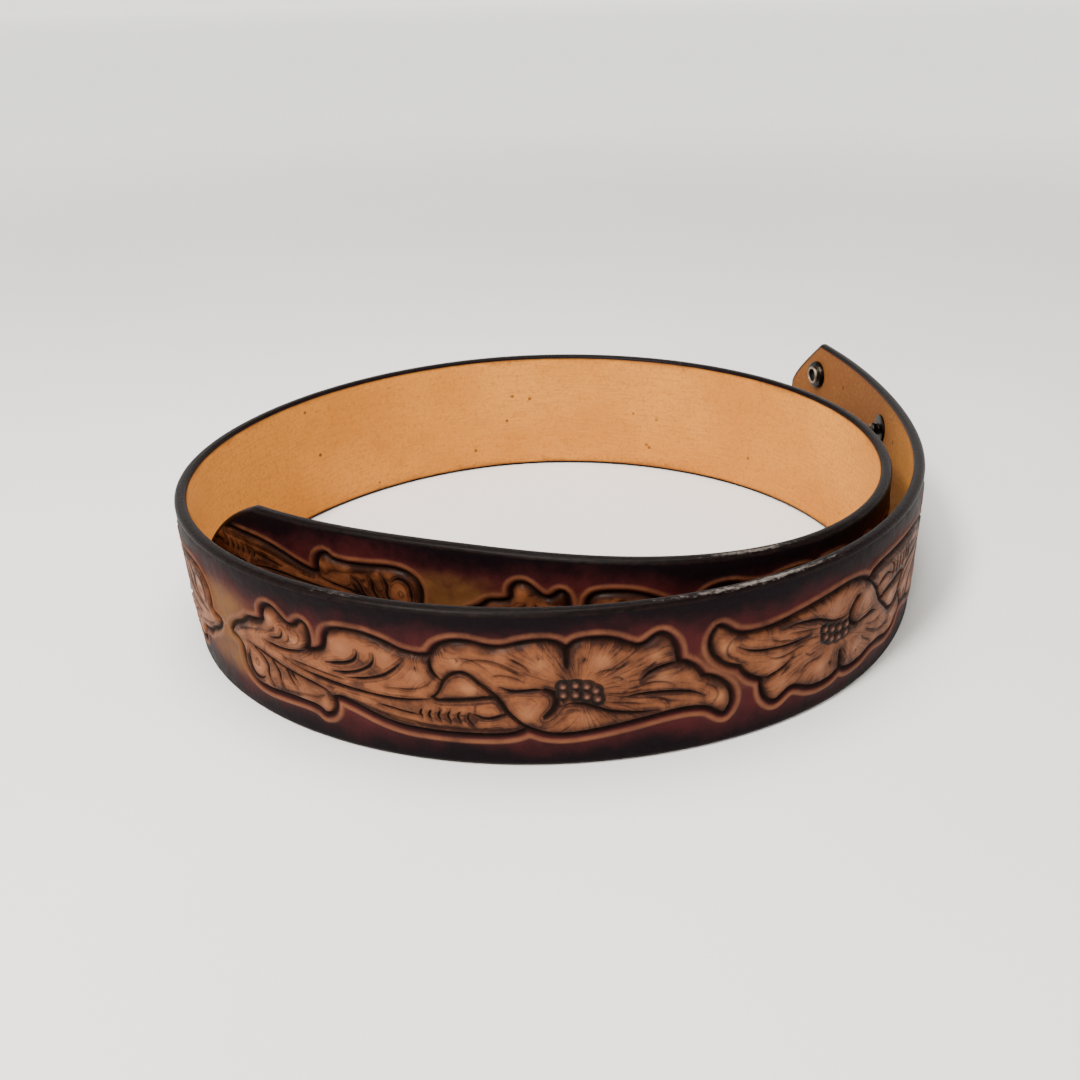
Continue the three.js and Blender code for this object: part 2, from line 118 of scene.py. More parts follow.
# Cuts inside a figure: depth and half width in millimetres
Cut = namedtuple("Cut", "depth wide path")
DEEP = 0.8
FIRM = 0.55
LIGHT = 0.3
CUTS = (
    # Leaf cluster
    Cut(DEEP, 0.6, ((560, 224), (590, 229), (640, 231), (690, 222), (733, 204))),
    Cut(LIGHT, 0.45, ((618, 160), (612, 169), (602, 177), (590, 183))),
    Cut(FIRM, 0.45, ((647, 165), (643, 181), (632, 193), (613, 200), (594, 203))),
    Cut(LIGHT, 0.4, ((673, 170), (669, 190), (656, 201), (640, 207))),
    Cut(LIGHT, 0.4, ((708, 150), (715, 168), (708, 186), (694, 196))),
    Cut(LIGHT, 0.5, ((430, 240), (455, 222), (490, 208), (530, 198), (565, 190))),
    Cut(FIRM, 0.5, ((470, 262), (505, 266), (550, 274), (595, 286), (640, 297), (690, 307), (735, 315),
                    (775, 324), (798, 335), (808, 350))),
    Cut(FIRM, 0.5, ((476, 290), (470, 312), (470, 340), (478, 364), (496, 378), (518, 377), (535, 364))),
    Cut(LIGHT, 0.7, ((505, 312), (498, 324), (504, 336), (514, 330), (512, 318))),
    Cut(FIRM, 0.5, ((505, 275), (532, 284), (550, 300), (557, 320), (553, 342), (557, 362), (568, 380))),
    Cut(FIRM, 0.5, ((570, 284), (594, 303), (605, 325), (604, 347), (612, 368))),
    Cut(FIRM, 0.5, ((628, 296), (643, 309), (650, 327), (660, 345), (676, 356))),
    Cut(FIRM, 0.45, ((655, 301), (664, 316), (678, 333))),
    Cut(LIGHT, 0.8, ((600, 388), (650, 380), (700, 370), (745, 366), (775, 350))),
    # Long leaf
    Cut(FIRM, 0.5, ((911, 163), (909, 180), (896, 198), (870, 211), (835, 220), (800, 226))),
    Cut(FIRM, 0.5, ((963, 165), (962, 183), (950, 204), (926, 222), (898, 236), (865, 246), (820, 252))),
    Cut(FIRM, 0.5, ((1052, 173), (1037, 190), (1016, 210), (990, 229), (958, 243), (922, 254), (870, 262))),
    Cut(LIGHT, 0.5, ((1141, 216), (1122, 240), (1100, 255), (1075, 264), (1040, 268), (990, 272))),
    Cut(LIGHT, 0.4, ((1090, 186), (1086, 192), (1089, 199))),
    Cut(LIGHT, 0.5, ((640, 256), (690, 258), (740, 262), (800, 268), (860, 272))),
    Cut(DEEP, 0.55, ((640, 263), (690, 276), (730, 283), (780, 289), (840, 296), (900, 301), (960, 305),
                     (1020, 306), (1075, 301), (1110, 294), (1130, 285))),
    # Stem
    Cut(FIRM, 0.4, ((962, 334), (1000, 339), (1040, 346), (1075, 350), (1092, 353))),
    Cut(DEEP, 0.45, ((1094, 330), (1088, 345), (1094, 361))),
    Cut(DEEP, 0.45, ((1121, 331), (1113, 348), (1121, 365))),
    Cut(DEEP, 0.45, ((1149, 330), (1141, 347), (1149, 365))),
    Cut(DEEP, 0.45, ((1177, 329), (1169, 346), (1178, 365))),
    Cut(DEEP, 0.45, ((1206, 328), (1198, 345), (1208, 364))),
    Cut(DEEP, 0.45, ((1234, 329), (1227, 348), (1234, 363), (1246, 374))),
    Cut(DEEP, 0.45, ((1234, 331), (1252, 337), (1272, 346), (1296, 345), (1318, 337), (1345, 326))),
    Cut(LIGHT, 0.8, ((845, 334), (900, 345), (950, 358), (1000, 370), (1060, 378), (1150, 384), (1250, 385),
                     (1330, 382), (1375, 376))),
    # Sepal
    Cut(DEEP, 0.75, ((1130, 285), (1147, 268), (1157, 248), (1166, 228), (1181, 210), (1201, 198),
                     (1221, 195), (1241, 203), (1262, 222), (1282, 241), (1300, 257), (1314, 272),
                     (1327, 293), (1341, 319), (1361, 343), (1396, 376))),
    Cut(DEEP, 0.95, ((1130, 285), (1150, 294), (1200, 290), (1250, 283), (1285, 276), (1314, 272))),
    # Petals
    Cut(DEEP, 0.65, ((1134, 144), (1131, 170), (1135, 194), (1146, 212), (1166, 228))),
    Cut(DEEP, 0.95, ((1513, 110), (1514, 135), (1513, 176))),
    Cut(LIGHT, 0.45, ((1222, 166), (1235, 156), (1255, 150), (1280, 149), (1305, 152), (1330, 160),
                      (1352, 171), (1375, 184), (1396, 198))),
    Cut(LIGHT, 0.4, ((1352, 142), (1370, 150), (1388, 162), (1402, 175), (1411, 187))),
    Cut(LIGHT, 0.35, ((1320, 161), (1345, 174), (1366, 187), (1386, 202))),
    Cut(LIGHT, 0.4, ((1303, 204), (1325, 198), (1347, 200), (1370, 207), (1392, 218))),
    Cut(LIGHT, 0.6, ((1205, 146), (1213, 152), (1208, 160))),
    Cut(LIGHT, 0.6, ((1434, 134), (1438, 142), (1436, 150))),
    Cut(FIRM, 0.5, ((1332, 238), (1348, 247), (1370, 251), (1398, 248), (1428, 245), (1452, 247))),
    Cut(DEEP, 1.0, ((1452, 247), (1471, 257), (1481, 276), (1479, 300), (1467, 322), (1447, 342))),
    Cut(FIRM, 0.6, ((1496, 303), (1521, 296), (1556, 299), (1581, 309), (1606, 321), (1631, 332),
                    (1666, 340), (1706, 346), (1736, 347), (1768, 345))),
    Cut(LIGHT, 0.5, ((1592, 201), (1616, 193), (1641, 192), (1664, 186), (1682, 167))),
    Cut(LIGHT, 0.45, ((1728, 209), (1746, 196), (1761, 181))),
    Cut(LIGHT, 0.6, ((1560, 144), (1564, 152), (1560, 160))),
    Cut(DEEP, 0.6, ((1722, 236), (1736, 222), (1756, 210), (1781, 201), (1806, 196), (1828, 194))),
    Cut(LIGHT, 0.45, ((1671, 266), (1706, 260), (1736, 252), (1766, 250), (1796, 256), (1817, 271))),
    Cut(FIRM, 0.5, ((1661, 291), (1706, 285), (1756, 285), (1806, 290), (1846, 297), (1881, 309),
                    (1911, 327))),
    Cut(LIGHT, 0.45, ((1736, 300), (1766, 304), (1788, 313), (1803, 327))),
    Cut(LIGHT, 0.4, ((1636, 221), (1656, 218), (1672, 231))),
    Cut(LIGHT, 0.4, ((1620, 270), (1650, 275), (1690, 274), (1720, 270))),
    Cut(LIGHT, 0.4, ((1620, 300), (1660, 306), (1700, 314), (1730, 322))),
    Cut(LIGHT, 0.7, ((1916, 290), (1940, 305), (1950, 330), (1940, 352))),
)

# Berries at the heart of the flower, in a sunken bed
BERRIES = (
    (1501, 237), (1536, 235), (1567, 241), (1592, 257),
    (1501, 266), (1535, 267), (1567, 275), (1597, 286),
)
HEART = (1545, 256)
BERRY_RADIUS = 1.22
BED_RADIUS = 1.9

# Rounded swellings pressed up inside a figure: place on the chart, radius and height in millimetres
Lump = namedtuple("Lump", "at radius high")
LUMPS = (
    Lump((1950, 338), 3.1, 0.30),
    Lump((1785, 240), 4.6, 0.22),
    Lump((1760, 160), 3.5, 0.22),
    Lump((1610, 160), 4.3, 0.26),
    Lump((1660, 215), 3.0, 0.14),
    Lump((1440, 160), 4.1, 0.24),
    Lump((1330, 130), 3.0, 0.16),
    Lump((1205, 158), 3.5, 0.24),
    Lump((1240, 240), 4.3, 0.28),
    Lump((1400, 320), 4.9, 0.22),
    Lump((1560, 350), 4.3, 0.18),
    Lump((865, 160), 4.3, 0.26),
    Lump((1000, 160), 3.8, 0.20),
    Lump((1090, 220), 3.8, 0.22),
    Lump((605, 135), 2.4, 0.24),
    Lump((700, 180), 2.7, 0.30),
    Lump((506, 336), 3.1, 0.34),
    Lump((700, 375), 3.5, 0.20),
    Lump((785, 385), 2.3, 0.24),
)

# Tooling across a line, in millimetres
GROOVE_WIDE = 1.0
GROOVE_DEEP = 0.85
HALO_AWAY = 1.95
HALO_WIDE = 0.8
HALO_HIGH = 0.4
FIGURE_HIGH = 0.4
SHOULDER = 1.5
SHOULDER_ROLL = 0.12
CUT_SWELL = 0.16
LUMP_FULL = 0.3
BED_DEEP = 0.15
BERRY_HIGH = 0.75
FIRST_PETAL = math.radians(130)
FAR = 8.0

# Half lengths of the patches that the dark dye left pale
CLUSTER_PATCH = 30
FLOWER_PATCH = 15

# Edges and mesh
EDGE_ROLL = 1.3
EDGE_ROLL_FLESH = 1.0
ROLL_STEPS = 4
EDGE_STEP = 1.5
BLOCK_STEP = 0.7
PLAIN_STEP = 1.55
FLESH_STEP = 3.0
LINE_STEP = 0.62
HOLE_SIDES = 24
SNAP_SIDES = 48
SAME_CORNER = 0.02

# Rows of mesh points along a figure's lines: how far from each line, and the least gap between points
BERRY_RINGS = ((0.45, 6), (0.8, 10), (1.08, 14), (1.3, 14))  # radius and points of each
FLANK_ROWS = (-0.5, 0.5, -1.0, 1.0)
RIDGE_ROWS = (1.5, 1.95, 2.4, 2.85)
CUT_ROW = 0.5
SWELL_ROW = 0.45
BERRY_GAP = 0.2
CENTRE_GAP = 0.36
FLANK_GAP = 0.42
RIDGE_GAP = 0.44


# The coil's path

def coil_rows():
    rows = [share * COIL_RADIUS for share in FIRST_TURN]
    for turned, gap in enumerate(SECOND_TURN_GAPS, start=1):
        rows.append(rows[turned] + LEATHER + RELIEF + gap * COIL_RADIUS)
    growth = rows[-1] - rows[-2]
    for _ in range(ROWS_PAST_TABLE):
        rows.append(rows[-1] + growth)
    return np.array(rows)


def coil_path():
    """Places along the strap, and the flesh side's points and outward directions there."""
    rows = coil_rows()
    turned = np.arange((len(rows) - 4) * PATH_SAMPLES + 1) / PATH_SAMPLES
    first = np.minimum(turned.astype(int), len(rows) - 4)
    t = turned - first
    weights = np.array([(1 - t) ** 3, 3 * t**3 - 6 * t**2 + 4, -3 * t**3 + 3 * t**2 + 3 * t + 1, t**3]) / 6
    slopes = np.array([-((1 - t) ** 2), 3 * t**2 - 4 * t, -3 * t**2 + 2 * t + 1, t**2]) / 2
    around = rows[first[None, :] + np.arange(4)[:, None]]
    radius = (weights * around).sum(0)
    growth = (slopes * around).sum(0) / math.radians(ROW_ANGLE)
    angle = math.radians(COIL_START) + turned * math.radians(ROW_ANGLE)
    out = np.stack([np.cos(angle), np.sin(angle)], 1)
    onward = np.stack([-out[:, 1], out[:, 0]], 1)
    travel = out * growth[:, None] + onward * radius[:, None]
    travel /= np.linalg.norm(travel, axis=1)[:, None]
    point = out * radius[:, None]
    outward = np.stack([travel[:, 1], -travel[:, 0]], 1)
    middle = point + outward * LEATHER / 2
    steps = np.linalg.norm(np.diff(middle, axis=0), axis=1)
    return np.concatenate([[0], np.cumsum(steps)]), point, outward


PATH_ALONG, PATH_POINT, PATH_OUTWARD = coil_path()


def bend(flat):
    """Points (along, up, depth) of the flat strap in the coil, in millimetres from the coil's middle."""
    place = [np.interp(flat[:, 0], PATH_ALONG, column) for column in PATH_POINT.T]
    outward = [np.interp(flat[:, 0], PATH_ALONG, column) for column in PATH_OUTWARD.T]
    return np.stack(
        [place[0] + outward[0] * flat[:, 2], place[1] + outward[1] * flat[:, 2], flat[:, 1]], 1
    )


def coil_shift():
    """From the coil's middle to the frame's origin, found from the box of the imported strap."""
    along = np.arange(0, STRAP_LENGTH, 2.0)
    sides = [bend(np.stack([along, 0 * along, 0 * along + depth], 1)) for depth in (0, LEATHER)]
    shown = np.concatenate(sides)[:, :2]
    low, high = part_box("strap")
    packed = np.array([low.x + high.x, low.y + high.y]) / 2 / MM
    return packed - (shown.min(0) + shown.max(0)) / 2


SHIFT = coil_shift()


def placed(flat):
    """Points of the flat strap as vertices of the frame, in metres."""
    points = bend(flat)
    points[:, :2] += SHIFT
    return points * MM


# The chart, read into millimetres

def charted(path):
    scale = REPEAT / 2 / (CHART_FLOWERS - CHART_CLUSTERS)
    rows = np.array(path, float)
    along = (rows[:, 0] - CHART_CLUSTERS) * scale
    up = (CHART_MIDDLE - rows[:, 1]) * STRAP_WIDTH / CHART_WIDTH
    return np.stack([along, up], 1)


def smooth_line(points, step):
    """A rounded line through some points, sampled at a step."""
    padded = np.vstack([2 * points[0] - points[1], points, 2 * points[-1] - points[-2]])
    fine = []
    for a, b, c, d in zip(padded, padded[1:], padded[2:], padded[3:]):
        for t in np.linspace(0, 1, 12, endpoint=False):
            fine.append(0.5 * (2 * b + (c - a) * t + (2 * a - 5 * b + 4 * c - d) * t**2
                               + (3 * b - a - 3 * c + d) * t**3))
    fine = np.array(fine + [points[-1]])
    gone = np.concatenate([[0], np.cumsum(np.linalg.norm(np.diff(fine, axis=0), axis=1))])
    count = max(2, int(round(gone[-1] / step)) + 1)
    even = np.linspace(0, gone[-1], count)
    return np.stack([np.interp(even, gone, fine[:, 0]), np.interp(even, gone, fine[:, 1])], 1)


OUTLINE_STROKES = [smooth_line(charted(path), LINE_STEP) for path in OUTLINE]
OUTLINE_LOOP = np.concatenate([stroke[:-1] for stroke in OUTLINE_STROKES])
CUT_LINES = [(cut, smooth_line(charted(cut.path), LINE_STEP)) for cut in CUTS]
BERRY_PLACES = charted(BERRIES)


def nearest_on(points, line):
    """Distance from each point to a line of short straight pieces, and the share of it gone by there."""
    start, run = line[:-1], np.diff(line, axis=0)
    length2 = np.maximum((run**2).sum(1), 1e-12)
    away = points[:, None, :] - start[None, :, :]
    part = np.clip((away * run).sum(2) / length2, 0, 1)
    apart = np.linalg.norm(away - part[:, :, None] * run, axis=2)
    nearest = apart.argmin(1)
    rows = np.arange(len(points))
    return apart[rows, nearest], (nearest + part[rows, nearest]) / len(run)


def distance_to(points, line):
    return nearest_on(points, line)[0]


def inside_loop(points, loop):
    following = np.roll(loop, -1, axis=0)
    x, y = points[:, :1], points[:, 1:]
    crosses = (loop[:, 1] > y) != (following[:, 1] > y)
    rise = np.where(following[:, 1] == loop[:, 1], 1e-9, following[:, 1] - loop[:, 1])
    at = loop[:, 0] + (y - loop[:, 1]) * (following[:, 0] - loop[:, 0]) / rise
    return (crosses & (x < at)).sum(1) % 2 == 1


def soft(value):
    """A smooth step of a value clipped between 0 and 1."""
    value = np.clip(value, 0, 1)
    return value * value * (3 - 2 * value)


def hump(value):
    """1 at zero, falling smoothly to 0 at plus and minus 1."""
    return soft(1 - np.abs(value))


# What the tooling says at a point of the grain side, with its value away from every figure
FIELDS = {
    "high": 0, "low": 0, "rim": -FAR, "deep": FAR, "light": FAR,
    "berry": FAR, "lump": 0, "turn": 0, "reach": FAR,
}


def tapered(gap, share, cut):
    """Distance to a cut in half widths of it, growing towards its two ends, where the knife lifted."""
    lift = 0.7 if cut.wide < 0.7 else 0.2
    return gap / cut.wide + lift * (1 - soft(np.minimum(share, 1 - share) / 0.25))


def nearest_cut(points, lines):
    """Distance from each point to the nearest of some cuts, in half widths of it, out to FAR."""
    away = np.full(len(points), FAR)
    for cut, line in lines:
        close = ((points > line.min(0) - FAR) & (points < line.max(0) + FAR)).all(1)
        if close.any():
            away[close] = np.minimum(away[close], tapered(*nearest_on(points[close], line), cut))
    return away


def carved(points):
    """How deep the cuts inside a figure go, and how high the leather swells beside them."""
    low = np.zeros(len(points))
    high = np.zeros(len(points))
    for cut, line in CUT_LINES:
        close = ((points > line.min(0) - 3) & (points < line.max(0) + 3)).all(1)
        if close.any():
            gap, share = nearest_on(points[close], line)
            low[close] = np.minimum(low[close], -cut.depth * hump(tapered(gap, share, cut) * 0.8))
            swell = CUT_SWELL * cut.depth / DEEP * hump((gap - cut.wide - 0.45) / 0.85)
            high[close] = np.maximum(high[close], swell)
    return low, high


def figure_fields(points):
    """Height of the tooling in one figure, and its distances, at points given from its clusters' place."""
    fields = {name: np.full(len(points), float(value)) for name, value in FIELDS.items()}
    near = (points[:, 0] > -FAR) & (points[:, 0] < REACH + FAR)
    if not near.any():
        return fields
    p = points[near]
    loop = np.vstack([OUTLINE_LOOP, OUTLINE_LOOP[:1]])
    away = np.concatenate([distance_to(chunk, loop) for chunk in np.array_split(p, max(1, len(p) // 900))])
    within = inside_loop(p, OUTLINE_LOOP)
    rim = np.clip(np.where(within, away, -away), -FAR, FAR)
    low, high = carved(p)
    low = np.minimum(low, -GROOVE_DEEP * hump((rim + 0.1) / GROOVE_WIDE))
    body = soft((rim - 0.2) / SHOULDER) * FIGURE_HIGH
    body += np.where(within, SHOULDER_ROLL * hump((rim - 1.3) / 0.9), 0)
    body -= SHOULDER_ROLL * soft((rim - 1.8) / 3.5)
    lump = np.zeros(len(p))
    for row in LUMPS:
        apart = np.linalg.norm(p - charted([row.at])[0], axis=1)
        lump = np.maximum(lump, row.high * soft(1 - apart / row.radius))
    high = high + body + lump * soft(rim / 1.5)
    heart = np.linalg.norm(p[:, None, :] - BERRY_PLACES[None, :, :], axis=2).min(1)
    bed = soft((BED_RADIUS - heart) / 0.5)
    berry = np.sqrt(np.clip(1 - (heart / BERRY_RADIUS) ** 2, 0, 1))
    high = high * (1 - bed) + bed * (BERRY_HIGH * berry - BED_DEEP)
    low = low * (1 - bed)
    from_heart = p - charted([HEART])[0]
    angle = np.arctan2(from_heart[:, 1], from_heart[:, 0])
    fields["high"][near] = np.maximum(high, 0) + HALO_HIGH * hump((rim + HALO_AWAY) / HALO_WIDE)
    fields["low"][near] = low + np.minimum(high, 0)
    fields["rim"][near] = rim
    fields["deep"][near] = nearest_cut(p, [row for row in CUT_LINES if row[0].depth > LIGHT])
    fields["light"][near] = nearest_cut(p, [row for row in CUT_LINES if row[0].depth <= LIGHT])
    fields["berry"][near] = np.minimum(heart, FAR)
    fields["lump"][near] = lump / LUMP_FULL
    fields["turn"][near] = (angle + FIRST_PETAL) % (2 * math.pi)
    fields["reach"][near] = np.linalg.norm(from_heart, axis=1)
    return fields


def cluster_places():
    first = (FLOWERS_MEET - REPEAT / 2) % REPEAT
    return np.arange(first, STRAP_LENGTH, REPEAT)


def figures_on_strap():
    """(place of the clusters, direction) of each tooled figure."""
    both = [(place, sign) for place in cluster_places() for sign in (1, -1)]
    return [(place, sign) for place, sign in both if max(place, place + sign * REACH) <= TOOLING_END]


REACH = OUTLINE_LOOP[:, 0].max()
FIGURES = figures_on_strap()


def tooling(points):
    """The fields of every figure at points (along, up) of the grain side."""
    total = {name: np.full(len(points), float(value)) for name, value in FIELDS.items()}
    for place, sign in FIGURES:
        local = np.stack([sign * (points[:, 0] - place), sign * (points[:, 1] - MIDDLE)], 1)
        fields = figure_fields(local)
        nearer = fields["rim"] > total["rim"]
        for name in ("rim", "lump", "turn", "reach"):
            total[name][nearer] = fields[name][nearer]
        total["high"] = np.maximum(total["high"], fields["high"])
        for name in ("low", "deep", "light", "berry"):
            total[name] = np.minimum(total[name], fields[name])
    return total


def undyed(points):
    """How little of the dark dye reached each point: most where two leaf clusters meet."""
    places = cluster_places()
    from_clusters = np.abs(points[:, :1] - places[None, :]).min(1)
    from_flowers = np.abs(points[:, :1] - places[None, :] - REPEAT / 2).min(1)
    across = np.abs(points[:, 1] - MIDDLE) / MIDDLE
    return np.maximum(
        hump(from_clusters / CLUSTER_PATCH) * soft((0.86 - across) / 0.5),
        0.55 * hump(from_flowers / FLOWER_PATCH) * soft((0.7 - across) / 0.5),
    )


# Places along the upper edge where the dye is rubbed off
Rub = namedtuple("Rub", "start end strength")
RUBS = (Rub(733, 813, 1.0), Rub(150, 185, 0.9), Rub(660, 678, 0.6), Rub(20, 40, 0.3), Rub(560, 600, 0.25))


def rubbed(points):
    worn = np.full(len(points), 0.1)
    for rub in RUBS:
        middle, half = (rub.start + rub.end) / 2, (rub.end - rub.start) / 2 + 8
        worn = np.maximum(worn, rub.strength * hump((points[:, 0] - middle) / half))
    return worn * soft((points[:, 1] - STRAP_WIDTH / 2) / 8)


# The strap's outline and its rolled edges

def end_curve(end):
    """Upper half of an end, from its nose to the straight edge: along and away from the middle."""
    t = np.linspace(0, 1, END_STEPS + 1)[:, None]
    nose, handle, edge = np.array([0, end.nose]), np.array(end.handle), np.array([end.edge, 0.5])
    curve = (1 - t) ** 2 * nose + 2 * t * (1 - t) * handle + t**2 * edge
    return curve * STRAP_WIDTH


def block_ends():
    straight = (TIP.edge * STRAP_WIDTH, STRAP_LENGTH - TAB.edge * STRAP_WIDTH)
    halves = np.sort(np.concatenate([cluster_places(), cluster_places() + REPEAT / 2]))
    return [place for place in halves if straight[0] < place < straight[1]]


BLOCK_ENDS = block_ends()


def edge_places():
    """Places along the straight edges, with the end of every block among them."""
    corners = [TIP.edge * STRAP_WIDTH, *BLOCK_ENDS, STRAP_LENGTH - TAB.edge * STRAP_WIDTH]
    places = [corners[0]]
    for start, end in zip(corners, corners[1:]):
        count = int(round((end - start) / EDGE_STEP))
        places.extend(start + (end - start) * k / count for k in range(1, count + 1))
    return np.array(places)


def strap_loop():
    """Outline of the flat strap, counter-clockwise seen from the grain side, and its inward directions."""
    tip, tab = end_curve(TIP), end_curve(TAB)
    straight = edge_places()[1:-1]
    lower = np.concatenate([
        np.stack([tip[:, 0], MIDDLE - tip[:, 1]], 1),
        np.stack([straight, 0 * straight], 1),
        np.stack([STRAP_LENGTH - tab[::-1, 0], MIDDLE - tab[::-1, 1]], 1),
    ])
    upper = lower[::-1] * [1, -1] + [0, STRAP_WIDTH]
    loop = np.concatenate([lower, upper])
    before, after = np.roll(loop, 1, axis=0), np.roll(loop, -1, axis=0)
    inward = np.zeros_like(loop)
    for run in (loop - before, after - loop):
        inward += np.stack([-run[:, 1], run[:, 0]], 1) / np.linalg.norm(run, axis=1)[:, None]
    return loop, inward / np.linalg.norm(inward, axis=1)[:, None]


LOOP, INWARD = strap_loop()
GRAIN_LOOP = LOOP + INWARD * EDGE_ROLL
FLESH_LOOP = LOOP + INWARD * EDGE_ROLL_FLESH


def circle(radius, sides):
    turn = np.linspace(0, 2 * math.pi, sides, endpoint=False)
    return radius * np.stack([np.cos(turn), np.sin(turn)], 1)


def hole_loop(along, up, diameter):
    return circle(diameter / 2, HOLE_SIDES) + [along, up]


def holes():
    found = [(along, MIDDLE, PRONG_HOLE) for along in PRONG_HOLES]
    for row in (-1, 1):
        up = MIDDLE + row * SNAP_ROW_SPREAD / 2
        found += [(SOCKET_AT, up, POST_HOLE), (STUD_AT, up, TUBE_HOLE)]
    return found


HOLES = holes()


def welded(corners, faces, apart):
    """Corners joined where they meet, the faces on them, and which faces are still whole."""
    keys = np.round(corners / apart).astype(np.int64)
    _, first, number = np.unique(keys, axis=0, return_index=True, return_inverse=True)
    faces = number.reshape(-1)[faces]
    whole = (faces != np.roll(faces, 1, axis=1)).all(1)
    return corners[first], faces, whole


class Flat:
    """Faces of the flat strap, gathered piece by piece and joined where their corners meet."""

    def __init__(self):
        self.corners = []
        self.faces = []
        self.sides = []
        self.count = 0

    def add(self, corners, faces, side):
        self.corners.append(np.asarray(corners, float))
        self.faces.append(np.asarray(faces, int) + self.count)
        self.sides.append(np.full(len(faces), side))
        self.count += len(corners)

    def joined(self):
        corners, faces = np.concatenate(self.corners), np.concatenate(self.faces)
        corners, faces, whole = welded(corners, faces, SAME_CORNER)
        return corners, faces[whole], np.concatenate(self.sides)[whole]


def thinned(groups, least):
    """Points of some groups, most wanted first, without any that lies too near one taken before."""
    taken = {}
    kept = []
    for points, gap in groups:
        for x, y in points:
            cell = (int(x // least), int(y // least))
            near = (
                q
                for i in (-1, 0, 1)
                for j in (-1, 0, 1)
                for q in taken.get((cell[0] + i, cell[1] + j), ())
            )
            if all((x - q[0]) ** 2 + (y - q[1]) ** 2 >= gap * gap for q in near):
                taken.setdefault(cell, []).append((x, y))
                kept.append((x, y))
    return np.array(kept)


def offset_rows(line, away):
    run = np.gradient(line, axis=0)
    side = np.stack([-run[:, 1], run[:, 0]], 1) / np.maximum(np.linalg.norm(run, axis=1), 1e-9)[:, None]
    return line + side * away


def figure_points():
    """Mesh points that follow the lines of one figure, as (points, least gap), most wanted first."""
    rings = [BERRY_PLACES]
    for radius, sides in BERRY_RINGS:
        ring = circle(radius, sides)
        rings.append((BERRY_PLACES[:, None, :] + ring[None, :, :]).reshape(-1, 2))
    deep_lines = [(cut, line) for cut, line in CUT_LINES if cut.depth > LIGHT]
    light_lines = [line for cut, line in CUT_LINES if cut.depth <= LIGHT]
    centres = OUTLINE_STROKES + [line for _, line in deep_lines]
    flanks = [offset_rows(line, away) for line in OUTLINE_STROKES for away in FLANK_ROWS]
    flanks += [offset_rows(line, side * CUT_ROW) for _, line in deep_lines for side in (-1, 1)]
    for cut, line in deep_lines:
        flanks += [offset_rows(line, side * (cut.wide + SWELL_ROW)) for side in (-1, 1)]
    ridges = [offset_rows(line, away) for line in OUTLINE_STROKES for away in RIDGE_ROWS]
    ridges += [offset_rows(line, side * CUT_ROW) for line in light_lines for side in (-1, 1)]
    groups = [
        (rings, BERRY_GAP), (centres, CENTRE_GAP), (light_lines, FLANK_GAP), (flanks, FLANK_GAP),
        (ridges, RIDGE_GAP),
    ]
    return [(np.concatenate(rows), gap) for rows, gap in groups]


FIGURE_POINTS = figure_points()


def plain_points(start, end, step):
    rows = []
    for k, up in enumerate(np.arange(step / 2, STRAP_WIDTH, step * 0.87)):
        rows.append([(along, up) for along in np.arange(start + step * (0.25 + 0.5 * (k % 2)), end, step)])
    return np.array([point for row in rows for point in row])


def outline_between(loop, start, end):
    """The lower and the upper edge of the strap between two places."""
    hair = 1e-6
    halves = np.split(loop, 2)
    return [half[(half[:, 0] > start - hair) & (half[:, 0] < end + hair)] for half in halves]


def across(place, low, high):
    """Even points across the strap at a place, without its two edges."""
    count = int(round((high - low) / BLOCK_STEP))
    return np.array([(place, low + (high - low) * k / count) for k in range(1, count)])


def border_of(loop, start, end):
    """Border of one stretch of a face, closed across the strap where the next stretch begins."""
    lower, upper = outline_between(loop, start, end)
    sides = [lower]
    if end < STRAP_LENGTH:
        sides.append(across(end, lower[-1][1], upper[0][1]))
    sides.append(upper)
    if start > 0:
        sides.append(across(start, lower[0][1], upper[-1][1])[::-1])
    return np.concatenate(sides)


def clear_points(points, margin, start, end, border, openings):
    """The points of one stretch that lie inside its border and outside its holes, by a margin."""
    keep = (points[:, 0] > start + margin) & (points[:, 0] < end - margin)
    keep &= (points[:, 1] > 0) & (points[:, 1] < STRAP_WIDTH)
    points = points[keep]
    points = points[inside_loop(points, border)]
    if len(points):
        points = points[distance_to(points, np.vstack([border, border[:1]])) > margin]
    for along, up, diameter in openings:
        away = np.linalg.norm(points - [along, up], axis=1)
        points = points[away > diameter / 2 + margin]
    return points


def filled(loop, start, end, inner, step, least):
    """Triangles of one stretch of a face: its corners and faces, with the holes left open."""
    border = border_of(loop, start, end)
    openings = [(along, up, diameter) for along, up, diameter in HOLES if start < along < end]
    loops = [border] + [hole_loop(*opening) for opening in openings]
    groups = [(np.concatenate(loops), 0.0)]
    for points, gap in [*inner, (plain_points(start, end, step), step * 0.62)]:
        groups.append((clear_points(points, gap * 0.8, start, end, border, openings), gap))
    corners = thinned(groups, least)
    edges = []
    first = 0
    for ring in loops:
        edges += [(first + i, first + (i + 1) % len(ring)) for i in range(len(ring))]
        first += len(ring)
    made = delaunay_2d_cdt([Vector(c) for c in corners], edges, [list(range(len(border)))], 1, 1e-5)
    points = np.array([tuple(v) for v in made[0]])
    faces = np.array([f for f in made[2] if len(f) == 3])
    centres = points[faces].mean(1)
    for along, up, diameter in openings:
        covers = np.linalg.norm(centres - [along, up], axis=1) < diameter / 2 * 0.98
        faces, centres = faces[~covers], centres[~covers]
    a, b, c = (points[faces[:, k]] for k in range(3))
    turn = (b[:, 0] - a[:, 0]) * (c[:, 1] - a[:, 1]) - (b[:, 1] - a[:, 1]) * (c[:, 0] - a[:, 0])
    faces[turn < 0] = faces[turn < 0][:, ::-1]
    return points, faces


GRAIN, EDGE, FLESH, BORE = range(4)


